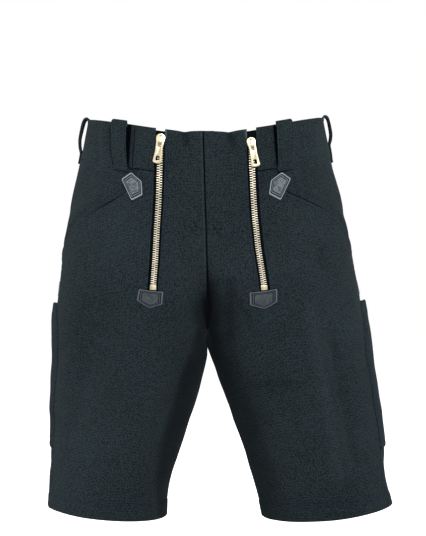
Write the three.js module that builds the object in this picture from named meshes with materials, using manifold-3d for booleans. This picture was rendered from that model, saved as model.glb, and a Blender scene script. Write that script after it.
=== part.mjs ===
// Moleskin shorts with a two-zip fall front, filled out as if worn and held at the waist.
// Millimetres, +Z up, the front faces -Y. The origin is the middle of the waist opening,
// level with its top edge at the left side. Right and left are the wearer's own.
import * as THREE from "three";
import Module from "manifold-3d";

const wasm = await Module();
wasm.setup();

// Driving dimensions
const CLOTH = 2; // one layer of heavy moleskin
const SEAM = 0.4; // room between neighbouring pieces
const HEM_TOP = 538; // depth where the turned-up hem starts
const HEM_DOUBLE = 3.4; // thickness of the hem
const BAND = 61; // depth of the waistband
const HEM = 560; // depth of the hem edge
const SLIT = { inner: 5.8, outer: 8.2 }; // reach of the gap to each side of the zip
const SLIT_END = 236; // depth of the lower end of the zip gap
const TAPE = { half: 13, thick: 0.9, top: 3, end: 240 };
const CHAIN = { half: 3.9, start: 6, end: 226, under: 2.1, over: 0.1 };
const END_STOP = { half: 4.6, end: 233 };
const LEATHER = 1.6;
const LOOP = { half: 11, thick: 2.2, top: 2, end: 66.5, lift: 0.6 };
const PULL_REST = 5; // degrees that the tabs lean in to rest on the zip
const SLIDER_TURN = 5; // degrees that the sliders lean outward
const POCKET = { top: 268, end: 472, to: 1.2, lift: 0.6, stand: 9 };
const FORK = 305; // depth where the centre seams meet the inseams
const ROUND = 0.5523; // handle share that makes a cubic curve a quarter of an ellipse
const CURVE_STEPS = 16;

const RIGHT = -1;
const LEFT = 1;
const SIDES = [[RIGHT, "right"], [LEFT, "left"]];
const SLIDER_DEPTH = { [RIGHT]: 16.4, [LEFT]: 21.6 }; // depth of each slider's middle

const rows = (columns, table) =>
  table.map((row) => Object.fromEntries(columns.map((name, i) => [name, row[i]])));

// The seams and crowns of the garment. `at` is the depth below the waist along the cloth
// and `turn` is how far the cloth has turned toward the back where it meets the seam, and
// `rise` is how far its section climbs on the way there.
const CENTRE_FRONT = rows(["at", "x", "y", "z", "turn", "rise"], [
  [0, -4, -105, -27, 0, 0],
  [68, -2, -114, -94, 0, 0],
  [136, 0, -119, -160, 0, 0],
  [205, 1.5, -115, -218, 8, 0],
  [263, 2, -98, -264, 35, 0],
  [FORK, 2, -52, -303, 80, 10],
]);
const CENTRE_BACK = rows(["at", "x", "y", "z", "turn", "rise"], [
  [0, 0, 104, -14, 0, 0],
  [68, 0, 115, -80, 0, 0],
  [136, 0, 134, -182, 4, 0],
  [205, 1, 110, -284, 30, 0],
  [240, 2, 66, -320, 60, 0],
  [263, 2, 22, -330, 80, -8],
  [FORK, 2, -52, -303, 100, -60],
]);
const GUIDES = {
  [RIGHT]: {
    side: rows(["at", "x", "y", "z"], [
      [0, -170, 0, -4],
      [68, -182.5, 0, -68],
      [136, -198, 2, -136],
      [205, -208, 4, -205],
      [263, -213.5, 4, -263],
      [305, -215, 3, -305],
      [345, -216, 2, -345],
      [396, -220, 0, -396],
      [466, -224, 0, -466],
      [520, -225.5, 0, -520],
      [560, -229, 0, -558.5],
    ]),
    front: rows(["at", "x", "y", "z"], [
      [0, -52, -103, -25],
      [68, -62, -112, -92],
      [136, -74, -119, -158],
      [205, -90, -121, -222],
      [263, -102, -119, -274],
      [305, -108, -115, -313],
      [345, -112, -110, -352],
      [396, -116, -104, -402],
      [466, -128, -97, -473],
      [520, -138, -91, -528],
      [560, -143, -88, -569],
    ]),
    back: rows(["at", "x", "y", "z"], [
      [0, -55, 103, -11],
      [68, -62, 114, -77],
      [136, -78, 131, -162],
      [205, -96, 125, -250],
      [263, -106, 116, -308],
      [305, -110, 110, -345],
      [345, -112, 106, -380],
      [396, -116, 102, -420],
      [466, -128, 97, -478],
      [520, -138, 91, -526],
      [560, -143, 88, -563],
    ]),
    inseam: rows(["at", "x", "y", "z", "turn"], [
      [FORK, 2, -52, -303, 80],
      [345, -8, -45, -338, 70],
      [396, -23, -42, -394, 66],
      [466, -44, -38, -468, 66],
      [520, -56, -24, -526, 76],
      [560, -57.5, -12, -574, 83],
    ]),
  },
  [LEFT]: {
    side: rows(["at", "x", "y", "z"], [
      [0, 169.5, 0, -0.5],
      [68, 181.5, 0, -66],
      [136, 199, 2, -136],
      [205, 212.5, 3, -205],
      [263, 221.5, 3, -260],
      [305, 228.5, 2, -302],
      [345, 234.5, 0, -343],
      [396, 244, -1, -396],
      [466, 256, -2, -466],
      [520, 259.5, -2, -520],
      [560, 268.5, -2, -555.5],
    ]),
    front: rows(["at", "x", "y", "z"], [
      [0, 52, -103, -25],
      [68, 62, -112, -92],
      [136, 75, -119, -158],
      [205, 95, -121, -222],
      [263, 110, -120, -274],
      [305, 119, -116, -313],
      [345, 126, -111, -352],
      [396, 140, -105, -402],
      [466, 158, -98, -473],
      [520, 170, -92, -528],
      [560, 178, -90, -569],
    ]),
    back: rows(["at", "x", "y", "z"], [
      [0, 55, 103, -11],
      [68, 62, 114, -77],
      [136, 79, 131, -162],
      [205, 100, 125, -250],
      [263, 114, 116, -308],
      [305, 122, 110, -345],
      [345, 130, 106, -380],
      [396, 142, 102, -420],
      [466, 160, 97, -478],
      [520, 172, 91, -526],
      [560, 180, 90, -563],
    ]),
    inseam: rows(["at", "x", "y", "z", "turn"], [
      [FORK, 2, -52, -303, 80],
      [345, 11, -25, -340, 80],
      [396, 26, -2, -396, 88],
      [466, 51, 0, -468, 90],
      [520, 70, 0, -528, 90],
      [560, 82, 0, -575, 90],
    ]),
  },
};

// Climb of the sections where they meet the inseam.
const INSEAM_RISE = rows(["at", "front", "back"], [
  [FORK, 10, -60],
  [345, 12, -35],
  [396, 7, -18],
  [466, 2, -5],
  [HEM, 0, 0],
]);

// The side seam keeps to the widest line of the hips and comes forward on the thighs.
const SIDE_SEAM = rows(["at", "round"], [
  [0, 1],
  [SLIT_END, 1],
  [FORK, 0.9],
  [396, 0.87],
  [466, 0.87],
  [HEM, 0.88],
]);

// Distance of the middle of each zip from the centre front, along the cloth.
const ZIP_LINE = {
  [RIGHT]: rows(["at", "around"], [
    [0, 58.5],
    [54, 61.5],
    [100, 64],
    [142, 67.5],
    [187, 71],
    [240, 77],
  ]),
  [LEFT]: rows(["at", "around"], [
    [0, 67],
    [55, 66.8],
    [117, 67.8],
    [142, 69.5],
    [172, 72],
    [240, 82],
  ]),
};
// Share of the front, from its centre to the side seam, where the upright band seam lies.
const BAND_SEAM = { [RIGHT]: 0.43, [LEFT]: 0.45 };
// Slanted pocket mouth: depth of the front panel's edge by its share round the front.
const MOUTH = {
  [RIGHT]: rows(["at", "depth"], [
    [0.385, 61],
    [0.4, 84],
    [0.427, 92],
    [0.47, 101],
    [0.511, 109],
    [0.58, 120.5],
    [0.648, 132],
    [0.79, 156],
    [0.845, 171],
    [1, 200],
  ]),
  [LEFT]: rows(["at", "depth"], [
    [0.385, 61],
    [0.404, 84],
    [0.464, 97],
    [0.54, 108],
    [0.615, 118.5],
    [0.732, 135.5],
    [0.827, 153],
    [0.92, 173],
    [1, 190],
  ]),
};
const MOUTH_FOOT = 222; // below this depth the rows of the front panel run level again
const FACING = { from: 0.34, under: 24, sunk: CLOTH + 0.8 };

// Large folds: soft troughs and ridges along straight lines, seen from the face they lie on.
const FOLDS = rows(["face", "x0", "z0", "x1", "z1", "width", "height"], [
  ["front", 20, -244, 20, -306, 9, 3],
  ["front", 34, -238, 31, -312, 8, -3.5],
  ["front", 62, -382, 132, -378, 9, -2.5],
  ["front", 60, -424, 82, -430, 8, -2],
  ["front", 130, -275, 176, -506, 22, 3],
  ["front", 171, -315, 205, -486, 15, -3],
  ["front", 150, -148, 162, -206, 14, -2.5],
  ["front", 162, -206, 186, -266, 15, -2.5],
  ["front", -140, -128, -152, -190, 14, -2.5],
  ["front", -95, -330, -150, -480, 24, 2],
  ["front", -160, -300, -190, -440, 18, -2],
  ["front", -26, -28, -18, -76, 7, -1.5],
  ["front", 31, -26, 40, -56, 7, -1.5],
  ["back", -16, -250, -120, -196, 17, -3.5],
  ["back", 18, -262, 128, -214, 16, -3.5],
  ["back", -28, -300, -150, -262, 16, 3],
  ["back", 30, -306, 146, -276, 15, 3],
  ["back", -60, -352, -150, -330, 14, -3.5],
  ["back", 66, -366, 168, -336, 15, -3],
  ["back", -120, -390, -150, -520, 22, 2.5],
  ["back", 150, -400, 184, -524, 22, 2.5],
]);

// Smooth value of one column of a table at `at`, through its rows.
function follow(table, at, column) {
  const last = table.length - 1;
  let i = 0;
  while (i < last - 1 && at > table[i + 1].at) i += 1;
  const slope = (k) => {
    const before = table[Math.max(k - 1, 0)];
    const after = table[Math.min(k + 1, last)];
    return (after[column] - before[column]) / (after.at - before.at);
  };
  const [a, b] = [table[i], table[i + 1]];
  const span = b.at - a.at;
  const t = (at - a.at) / span;
  if (t < 0) return a[column] + slope(i) * (at - a.at);
  if (t > 1) return b[column] + slope(i + 1) * (at - b.at);
  const [t2, t3] = [t * t, t * t * t];
  return (
    (2 * t3 - 3 * t2 + 1) * a[column] +
    (t3 - 2 * t2 + t) * span * slope(i) +
    (3 * t2 - 2 * t3) * b[column] +
    (t3 - t2) * span * slope(i + 1)
  );
}

// Straight-line value between the rows, for edges with sharp corners.
function along(table, at, column) {
  let i = 0;
  while (i < table.length - 2 && at > table[i + 1].at) i += 1;
  const [a, b] = [table[i], table[i + 1]];
  const t = THREE.MathUtils.clamp((at - a.at) / (b.at - a.at), 0, 1);
  return THREE.MathUtils.lerp(a[column], b[column], t);
}

const { smoothstep, clamp, lerp, degToRad } = THREE.MathUtils;
const pointAt = (table, at) => new THREE.Vector3(...["x", "y", "z"].map((c) => follow(table, at, c)));

const centre = (half) => (half === "front" ? CENTRE_FRONT : CENTRE_BACK);

// The seam on the inner edge of a quarter: the centre seam, and the inseam below the fork.
function innerSeam(leg, half, at) {
  if (at <= FORK) {
    const turn = follow(centre(half), at, "turn");
    return { point: pointAt(centre(half), at), turn, rise: follow(centre(half), at, "rise") };
  }
  const turn = follow(GUIDES[leg].inseam, at, "turn");
  return {
    point: pointAt(GUIDES[leg].inseam, at),
    turn: half === "front" ? turn : 180 - turn,
    rise: follow(INSEAM_RISE, at, half),
  };
}

// One section of a quarter of the garment: from the side seam over the crown to the inner seam.
const sections = new Map();
function section(leg, half, at) {
  const key = `${leg} ${half} ${at}`;
  if (sections.has(key)) return sections.get(key);
  const forward = half === "front" ? -1 : 1;
  const side = pointAt(GUIDES[leg].side, at);
  const crown = pointAt(GUIDES[leg][half], at);
  const seam = innerSeam(leg, half, at);
  const inner = seam.point;
  const turn = degToRad(seam.turn);
  const tilt = (inner.z - side.z) / (inner.x - side.x);
  const level = (length) => new THREE.Vector3(length, 0, length * tilt);
  const outerArc = new THREE.CubicBezierCurve3(
    side,
    side.clone().add(new THREE.Vector3(0, ROUND * (crown.y - side.y), 0)),
    crown.clone().add(level(ROUND * (side.x - crown.x))),
    crown,
  );
  const across = Math.abs(inner.x - crown.x);
  const deep = Math.abs(inner.y - crown.y);
  const reach = ROUND * (across * Math.abs(Math.cos(turn)) + deep * Math.sin(turn));
  const handle = new THREE.Vector3(
    reach * Math.cos(turn) * leg,
    reach * Math.sin(turn) * forward,
    seam.rise,
  );
  const innerArc = new THREE.CubicBezierCurve3(
    crown,
    crown.clone().add(level(ROUND * (inner.x - crown.x))),
    inner.clone().add(handle),
    inner,
  );
  const lengths = [0];
  let last = side;
  for (let i = 1; i <= 2 * CURVE_STEPS; i += 1) {
    const t = i / CURVE_STEPS;
    const next = t <= 1 ? outerArc.getPoint(t) : innerArc.getPoint(t - 1);
    lengths.push(lengths.at(-1) + next.distanceTo(last));
    last = next;
  }
  const made = { outerArc, innerArc, lengths, width: lengths.at(-1) };
  sections.set(key, made);
  return made;
}

// Smooth form of the cloth. `round` is 0 at the centre front, 1 at the side seam and 2 at
// the centre back, past 2 on the other half of the waist; below the fork 0 and 2 are the inseam.
function form(leg, round, at) {
  if (at > FORK && (round < 0 || round > 2)) return form(leg, (round + 2) % 2, at);
  if (round > 2) return form(-leg, 4 - round, at);
  const half = round <= 1 ? "front" : "back";
  const { outerArc, innerArc, lengths, width } = section(leg, half, at);
  const wanted = clamp(Math.abs(1 - round), 0, 1) * width;
  let i = 0;
  while (i < lengths.length - 2 && lengths[i + 1] < wanted) i += 1;
  const t = (i + (wanted - lengths[i]) / (lengths[i + 1] - lengths[i])) / CURVE_STEPS;
  const point = t <= 1 ? outerArc.getPoint(t) : innerArc.getPoint(Math.min(t - 1, 1));
  return keepAside(point, leg, half, at);
}

// The plane between the two halves, which neither crosses.
function middleX(half, at) {
  return along(centre(half), at, "x");
}
function keepAside(point, leg, half, at) {
  const middle = middleX(half, at);
  point.x = middle + leg * Math.max(leg * (point.x - middle), SEAM / 2);
  return point;
}

const STEP = { round: 0.004, at: 1 };
const WRAPPED = 69; // down to this depth the cloth runs smoothly over the centre back
function outward(leg, round, at) {
  const joined = at <= WRAPPED || at > FORK + 2 * STEP.at;
  const r0 = at > FORK + 2 * STEP.at ? round - STEP.round : Math.max(round - STEP.round, 0);
  const r1 = joined ? round + STEP.round : Math.min(round + STEP.round, 2);
  const across = form(leg, r1, at).sub(form(leg, r0, at));
  const down = form(leg, round, at + STEP.at).sub(form(leg, round, at - STEP.at));
  return across.cross(down).multiplyScalar(-leg).normalize();
}

// Height of all folds at a point of the form.
function foldHeight(point) {
  let height = 0;
  for (const fold of FOLDS) {
    const facing = fold.face === "front" ? smoothstep(-point.y, 20, 60) : smoothstep(point.y, 20, 60);
    if (facing === 0) continue;
    const [dx, dz] = [fold.x1 - fold.x0, fold.z1 - fold.z0];
    const t = ((point.x - fold.x0) * dx + (point.z - fold.z0) * dz) / (dx * dx + dz * dz);
    const near = clamp(t, 0, 1);
    const off = Math.hypot(point.x - fold.x0 - near * dx, point.z - fold.z0 - near * dz);
    height += facing * fold.height * Math.exp(-((off / fold.width) ** 2));
  }
  return height;
}

// A point of the cloth, lifted off it along its outward direction.
function cloth(leg, round, at, lift = 0) {
  const point = form(leg, round, at);
  const normal = outward(leg, round, at);
  const half = round <= 1 ? "front" : "back";
  const fromMiddle = leg * (point.x - middleX(half, at));
  const free = at < 200 ? 1 : smoothstep(fromMiddle, 1, 16);
  point.addScaledVector(normal, free * foldHeight(point) + lift);
  return round > 2 || round < 0 ? point : keepAside(point, leg, half, at);
}

const frontWidth = (leg, at) => section(leg, "front", at).width;
const share = (leg, around, at) => around / frontWidth(leg, at);
const spread = (from, to, count) =>
  Array.from({ length: count + 1 }, (_, i) => lerp(from, to, i / count));

// A body between an outer and an inner skin over a grid of places. `place(i, j)` gives
// {round, at, over, under}; cells that `kept` refuses are left open.
function wall(leg, across, down, place, kept = () => true) {
  const positions = [];
  const index = [];
  const known = new Map();
  const corner = (i, j, skin) => {
    const key = `${i} ${j} ${skin}`;
    if (!known.has(key)) {
      const spot = place(i, j);
      known.set(key, positions.length / 3);
      positions.push(...cloth(leg, spot.round, spot.at, spot[skin]).toArray());
    }
    return known.get(key);
  };
  const quad = (a, b, c, d) => {
    if (leg === RIGHT) index.push(a, b, c, a, c, d);
    else index.push(a, c, b, a, d, c);
  };
  const inside = (i, j) => i >= 0 && j >= 0 && i < across && j < down && kept(i, j);
  const edge = (i0, j0, i1, j1) =>
    quad(corner(i0, j0, "over"), corner(i0, j0, "under"),
      corner(i1, j1, "under"), corner(i1, j1, "over"));
  for (let i = 0; i < across; i += 1) {
    for (let j = 0; j < down; j += 1) {
      if (!inside(i, j)) continue;
      const ring = [[i, j], [i + 1, j], [i + 1, j + 1], [i, j + 1]];
      quad(...ring.map(([u, v]) => corner(u, v, "over")));
      quad(...ring.toReversed().map(([u, v]) => corner(u, v, "under")));
      if (!inside(i, j - 1)) edge(i, j, i + 1, j);
      if (!inside(i + 1, j)) edge(i + 1, j, i + 1, j + 1);
      if (!inside(i, j + 1)) edge(i + 1, j + 1, i, j + 1);
      if (!inside(i - 1, j)) edge(i, j + 1, i, j);
    }
  }
  const geometry = new THREE.BufferGeometry();
  geometry.setAttribute("position", new THREE.Float32BufferAttribute(positions, 3));
  geometry.setIndex(index);
  geometry.computeVertexNormals();
  return geometry;
}

const thickness = (at) => lerp(CLOTH, HEM_DOUBLE, smoothstep(at, HEM_TOP - 1, HEM_TOP + 8));
const zipLine = (leg, reach) => (at) => share(leg, follow(ZIP_LINE[leg], at, "around") + reach, at);
const sideSeam = (leg, reach) => (at) => along(SIDE_SEAM, at, "round") + share(leg, reach, at);

const LEG_LEVELS = [
  ...spread(BAND, SLIT_END, 8),
  ...spread(SLIT_END, FORK, 4).slice(1),
  ...spread(FORK, HEM_TOP, 11).slice(1),
  HEM,
];

// Front panel: the flap between the zips runs up to the waist, the rest starts under the
// waistband and along the slanted pocket mouth, and the zip gap is left open.
function frontPanel(leg) {
  const gap = (at) => share(leg, SEAM / 2, at);
  const lines = [gap, zipLine(leg, -SLIT.inner), zipLine(leg, SLIT.outer), sideSeam(leg, -SEAM / 2)];
  const counts = [4, 1, 11];
  const levels = [...spread(0, BAND, 4).slice(0, -1), ...LEG_LEVELS];
  const bandRow = levels.indexOf(BAND);
  const slitRow = levels.indexOf(SLIT_END);
  const foot = levels.find((at) => at >= MOUTH_FOOT);
  const columns = counts.flatMap((count, k) =>
    spread(0, 1, count).slice(k ? 1 : 0).map((t) => ({ k, t })));
  const place = (i, j) => {
    const { k, t } = columns[i];
    let at = levels[j];
    const roundAt = (depth) => lerp(lines[k](depth), lines[k + 1](depth), t);
    const outboard = k === 2 || (k === 1 && t === 1);
    if (outboard && at >= BAND && at < foot) {
      const top = Math.max(along(MOUTH[leg], roundAt(at), "depth"), BAND) + SEAM / 2;
      at = lerp(top, foot, (at - BAND) / (foot - BAND));
    }
    return { round: roundAt(at), at, over: 0, under: -thickness(at) };
  };
  const kept = (i, j) => {
    const { k } = columns[i + 1];
    if (k === 1) return j >= slitRow;
    return k === 0 || j >= bandRow;
  };
  return wall(leg, columns.length - 1, levels.length - 1, place, kept);
}

// A plain panel between two lines round the garment.
function strip(leg, from, to, levels, count, skins) {
  const place = (i, j) => {
    const at = levels[j];
    const round = lerp(from(at), to(at), i / count);
    return { round, at, ...skins(round, at) };
  };
  return wall(leg, count, levels.length - 1, place);
}

const backWidth = (leg, at) => section(leg, "back", at).width;
function backPanel(leg) {
  const gap = (at) => SEAM / 2 / backWidth(leg, at);
  const levels = [BAND + SEAM / 2, ...LEG_LEVELS.slice(1)];
  const skins = (round, at) => ({ over: 0, under: -thickness(at) });
  return strip(leg, sideSeam(leg, SEAM / 2), (at) => 2 - gap(at), levels, 16, skins);
}

const BAND_ROWS = spread(0, BAND - SEAM / 2, 3);
const flat = () => ({ over: 0, under: -CLOTH });
function waistband(leg) {
  const from = (at) => BAND_SEAM[leg] + share(leg, SEAM / 2, at);
  return strip(leg, from, (at) => 2 - SEAM / 2 / backWidth(leg, at), BAND_ROWS, 24, flat);
}
function bandEnd(leg) {
  const to = (at) => BAND_SEAM[leg] - share(leg, SEAM / 2, at);
  return strip(leg, zipLine(leg, SLIT.outer), to, BAND_ROWS, 3, flat);
}

// Hip piece behind the slanted mouth: level with the garment above the mouth, sunk under
// the front panel below it.
function pocketFacing(leg) {
  const count = 11;
  const down = 9;
  const place = (i, j) => {
    const round = lerp(FACING.from, 1 - share(leg, SEAM / 2, 150), i / count);
    const mouth = Math.max(along(MOUTH[leg], round, "depth"), BAND);
    const at = lerp(BAND + SEAM / 2, mouth + FACING.under, j / down);
    const clear = smoothstep(mouth - at, 7, 20) * smoothstep(round, 0.43, 0.5);
    const over = -FACING.sunk * (1 - clear);
    return { round, at, over, under: over - CLOTH };
  };
  return wall(leg, count, down, place);
}

// Ruler pocket: an open-topped patch on the back of the thigh that stands off at its mouth.
function rulerPocket(leg) {
  const from = sideSeam(leg, SEAM / 2);
  const skins = (round, at) => {
    const seam = from(at);
    const w = (round - seam) / (POCKET.to - seam);
    const v = (at - POCKET.top) / (POCKET.end - POCKET.top);
    const belly = Math.sin(Math.PI * clamp(w, 0, 1)) * (1 - smoothstep(v, 0, 1)) ** 0.8;
    const under = POCKET.lift + POCKET.stand * belly;
    return { over: under + CLOTH, under };
  };
  return strip(leg, from, () => POCKET.to, spread(POCKET.top, POCKET.end, 8), 8, skins);
}

// Belt loop: a folded strip sewn down at both ends and standing off between them, down to
// the depth where it closes on the band. Its middle runs from `top` to `foot` round the waist.
function beltLoop(leg, { top, foot, stand, closes }) {
  const half = (at) => LOOP.half / frontWidth(leg, at);
  const middle = (at) => lerp(top, foot, at / LOOP.end);
  const skins = (round, at) => {
    const t = clamp((at - LOOP.top) / (closes - LOOP.top), 0, 1);
    const lift = LOOP.lift + stand * smoothstep(Math.sin(Math.PI * t), 0.1, 0.75);
    return { over: lift + LOOP.thick, under: lift };
  };
  return strip(leg, (at) => middle(at) - half(at), (at) => middle(at) + half(at),
    spread(LOOP.top, LOOP.end, 10), 2, skins);
}

const LOOP_PLACES = {
  front_right: { top: 0.53, foot: 0.489, stand: 6.6, closes: 62 },
  front_left: { top: 0.49, foot: 0.465, stand: 6.6, closes: 62 },
  side_right: { top: 1.01, foot: 1.01, stand: 7.2, closes: 50 },
  side_left: { top: 1.01, foot: 1.01, stand: 7.2, closes: 40 },
  back: { top: 2, foot: 2, stand: 7.2, closes: 62 },
};

// Zip tape behind the gap.
function zipTape(leg) {
  const over = -(CLOTH + 0.5);
  const skins = () => ({ over, under: over - TAPE.thick });
  return strip(leg, zipLine(leg, -TAPE.half), zipLine(leg, TAPE.half),
    spread(TAPE.top, TAPE.end, 12), 2, skins);
}

// Chain of closed teeth, with the wider end stop under it.
function zipTeeth(leg) {
  const top = SLIDER_DEPTH[leg] - CHAIN.start;
  const levels = [...spread(top, CHAIN.end, 14), CHAIN.end + 0.5, END_STOP.end];
  const wide = (at) => (at > CHAIN.end ? END_STOP.half : CHAIN.half);
  const line = (sign) => (at) => zipLine(leg, sign * wide(at))(at);
  const skins = () => ({ over: -CHAIN.over, under: -CHAIN.under });
  return strip(leg, line(-1), line(1), levels, 1, skins);
}

// A leather patch cut to a polygon of {around, at} corners and laid on the cloth.
const PATCH_RINGS = 2;
const PATCH_STEPS = 2;
function patch(leg, corners, lift) {
  const rim = corners.flatMap((a, i) => {
    const b = corners[(i + 1) % corners.length];
    return spread(0, 1, PATCH_STEPS).slice(0, -1)
      .map((t) => [lerp(a.around, b.around, t), lerp(a.at, b.at, t)]);
  });
  const mid = [0, 1].map((k) => rim.reduce((sum, spot) => sum + spot[k], 0) / rim.length);
  const positions = [];
  const addPoint = (spot, height) => {
    positions.push(...cloth(leg, share(leg, spot[0], spot[1]), spot[1], height).toArray());
    return positions.length / 3 - 1;
  };
  const skin = (height) => {
    const rings = [];
    for (let k = 1; k <= PATCH_RINGS; k += 1)
      rings.push(rim.map((spot) => addPoint(
        [0, 1].map((c) => lerp(mid[c], spot[c], k / PATCH_RINGS)), height)));
    return { hub: addPoint(mid, height), rings };
  };
  const over = skin(lift + LEATHER);
  const under = skin(lift);
  const index = [];
  const flip = leg === LEFT;
  const tri = (a, b, c) => (flip ? index.push(a, b, c) : index.push(a, c, b));
  rim.forEach((_, i) => {
    const j = (i + 1) % rim.length;
    tri(over.hub, over.rings[0][i], over.rings[0][j]);
    tri(under.hub, under.rings[0][j], under.rings[0][i]);
    for (let k = 1; k < PATCH_RINGS; k += 1) {
      const [a, b] = [over.rings[k - 1][i], over.rings[k][i]];
      const [d, c] = [over.rings[k - 1][j], over.rings[k][j]];
      tri(a, b, c);
      tri(a, c, d);
      const [e, f] = [under.rings[k - 1][i], under.rings[k][i]];
      const [h, g] = [under.rings[k - 1][j], under.rings[k][j]];
      tri(e, g, f);
      tri(e, h, g);
    }
    const [p, q] = [over.rings.at(-1)[i], over.rings.at(-1)[j]];
    const [s, t] = [under.rings.at(-1)[i], under.rings.at(-1)[j]];
    tri(p, s, t);
    tri(p, t, q);
  });
  const geometry = new THREE.BufferGeometry();
  geometry.setAttribute("position", new THREE.Float32BufferAttribute(positions, 3));
  geometry.setIndex(index);
  geometry.computeVertexNormals();
  return geometry;
}

const CORNER = ["around", "at"];
const POCKET_PATCH = {
  [RIGHT]: rows(CORNER, [[102.4, 67.5], [87.3, 77.5], [86.3, 96.3], [102, 106], [117.3, 79]]),
  [LEFT]: rows(CORNER, [[108, 68.4], [92.1, 76.7], [88.7, 95], [104.9, 105.7], [121.5, 79.1]]),
};
const ZIP_PATCH = {
  [RIGHT]: rows(CORNER, [[95.3, 231.6], [62, 237.2], [66.2, 257.1], [84.8, 261.6], [100.1, 249]]),
  [LEFT]: rows(CORNER, [[98, 231.1], [60.7, 238.7], [64, 259], [85.4, 262.7], [100.2, 251.5]]),
};

// Side patch: a small leather piece just behind the side seam, above the ruler pocket.
const SIDE_PATCH = { from: 6, to: 38, top: 236, end: 258 };
function sidePatch(leg) {
  const skins = () => ({ over: SEAM + LEATHER, under: SEAM });
  return strip(leg, sideSeam(leg, SIDE_PATCH.from), sideSeam(leg, SIDE_PATCH.to),
    spread(SIDE_PATCH.top, SIDE_PATCH.end, 2), 3, skins);
}

// Zip slider: a shield-shaped body with a strap bridge down its middle. Its own frame has
// +X across, +Y up the zip and +Z out of the garment.
const BODY = { top: 8.6, bottom: -8.6, wide: 6, narrow: 4.8, thick: 2.4, lift: 0.2 };
const HINGE = { y: -3.2, z: 4.9 };
const BRIDGE = { inner: 2.3, outer: 3.9, half: 1.7 };
function plate(shape, thick) {
  return new THREE.ExtrudeGeometry(shape, { depth: thick, bevelEnabled: false, curveSegments: 6 });
}
function solidOf(geometry) {
  const g = geometry.index ? geometry.toNonIndexed() : geometry;
  const vertProperties = new Float32Array(g.attributes.position.array);
  const triVerts = Uint32Array.from({ length: vertProperties.length / 3 }, (_, i) => i);
  const mesh = new wasm.Mesh({ numProp: 3, vertProperties, triVerts });
  mesh.merge();
  return new wasm.Manifold(mesh);
}
function geometryOf(solid) {
  const mesh = solid.getMesh();
  const geometry = new THREE.BufferGeometry();
  geometry.setAttribute("position", new THREE.BufferAttribute(mesh.vertProperties, 3));
  geometry.setIndex(new THREE.BufferAttribute(mesh.triVerts, 1));
  const faceted = geometry.toNonIndexed();
  faceted.computeVertexNormals();
  return faceted;
}
function sliderShape() {
  const shape = new THREE.Shape();
  shape.moveTo(-BODY.narrow, BODY.bottom + 1);
  shape.quadraticCurveTo(-BODY.narrow, BODY.bottom, -BODY.narrow + 1, BODY.bottom);
  shape.lineTo(BODY.narrow - 1, BODY.bottom);
  shape.quadraticCurveTo(BODY.narrow, BODY.bottom, BODY.narrow, BODY.bottom + 1);
  shape.lineTo(BODY.wide, 1);
  shape.bezierCurveTo(BODY.wide + 1.2, 6, 3.4, BODY.top, 0, BODY.top);
  shape.bezierCurveTo(-3.4, BODY.top, -BODY.wide - 1.2, 6, -BODY.wide, 1);
  shape.closePath();
  return shape;
}
function zipSlider() {
  const floor = BODY.lift + BODY.thick - 0.2;
  const arch = new THREE.Shape();
  arch.moveTo(HINGE.y - BRIDGE.outer, floor);
  arch.lineTo(HINGE.y - BRIDGE.outer, HINGE.z);
  arch.absarc(HINGE.y, HINGE.z, BRIDGE.outer, Math.PI, Math.PI / 2, true);
  arch.lineTo(HINGE.y + 6, HINGE.z + BRIDGE.outer - 0.6);
  arch.lineTo(BODY.top - 1, floor);
  arch.lineTo(HINGE.y + BRIDGE.inner, floor);
  arch.lineTo(HINGE.y + BRIDGE.inner, HINGE.z);
  arch.absarc(HINGE.y, HINGE.z, BRIDGE.inner, 0, Math.PI, false);
  arch.lineTo(HINGE.y - BRIDGE.inner, floor);
  arch.closePath();
  const bridge = plate(arch, 2 * BRIDGE.half);
  // Turn the bridge profile upright: its x runs up the zip and its y runs outward.
  bridge.translate(0, 0, -BRIDGE.half);
  bridge.applyMatrix4(new THREE.Matrix4().makeBasis(
    new THREE.Vector3(0, 1, 0), new THREE.Vector3(0, 0, 1), new THREE.Vector3(1, 0, 0)));
  const body = plate(sliderShape(), BODY.thick).translate(0, 0, BODY.lift);
  return geometryOf(solidOf(body).add(solidOf(bridge)));
}

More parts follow.
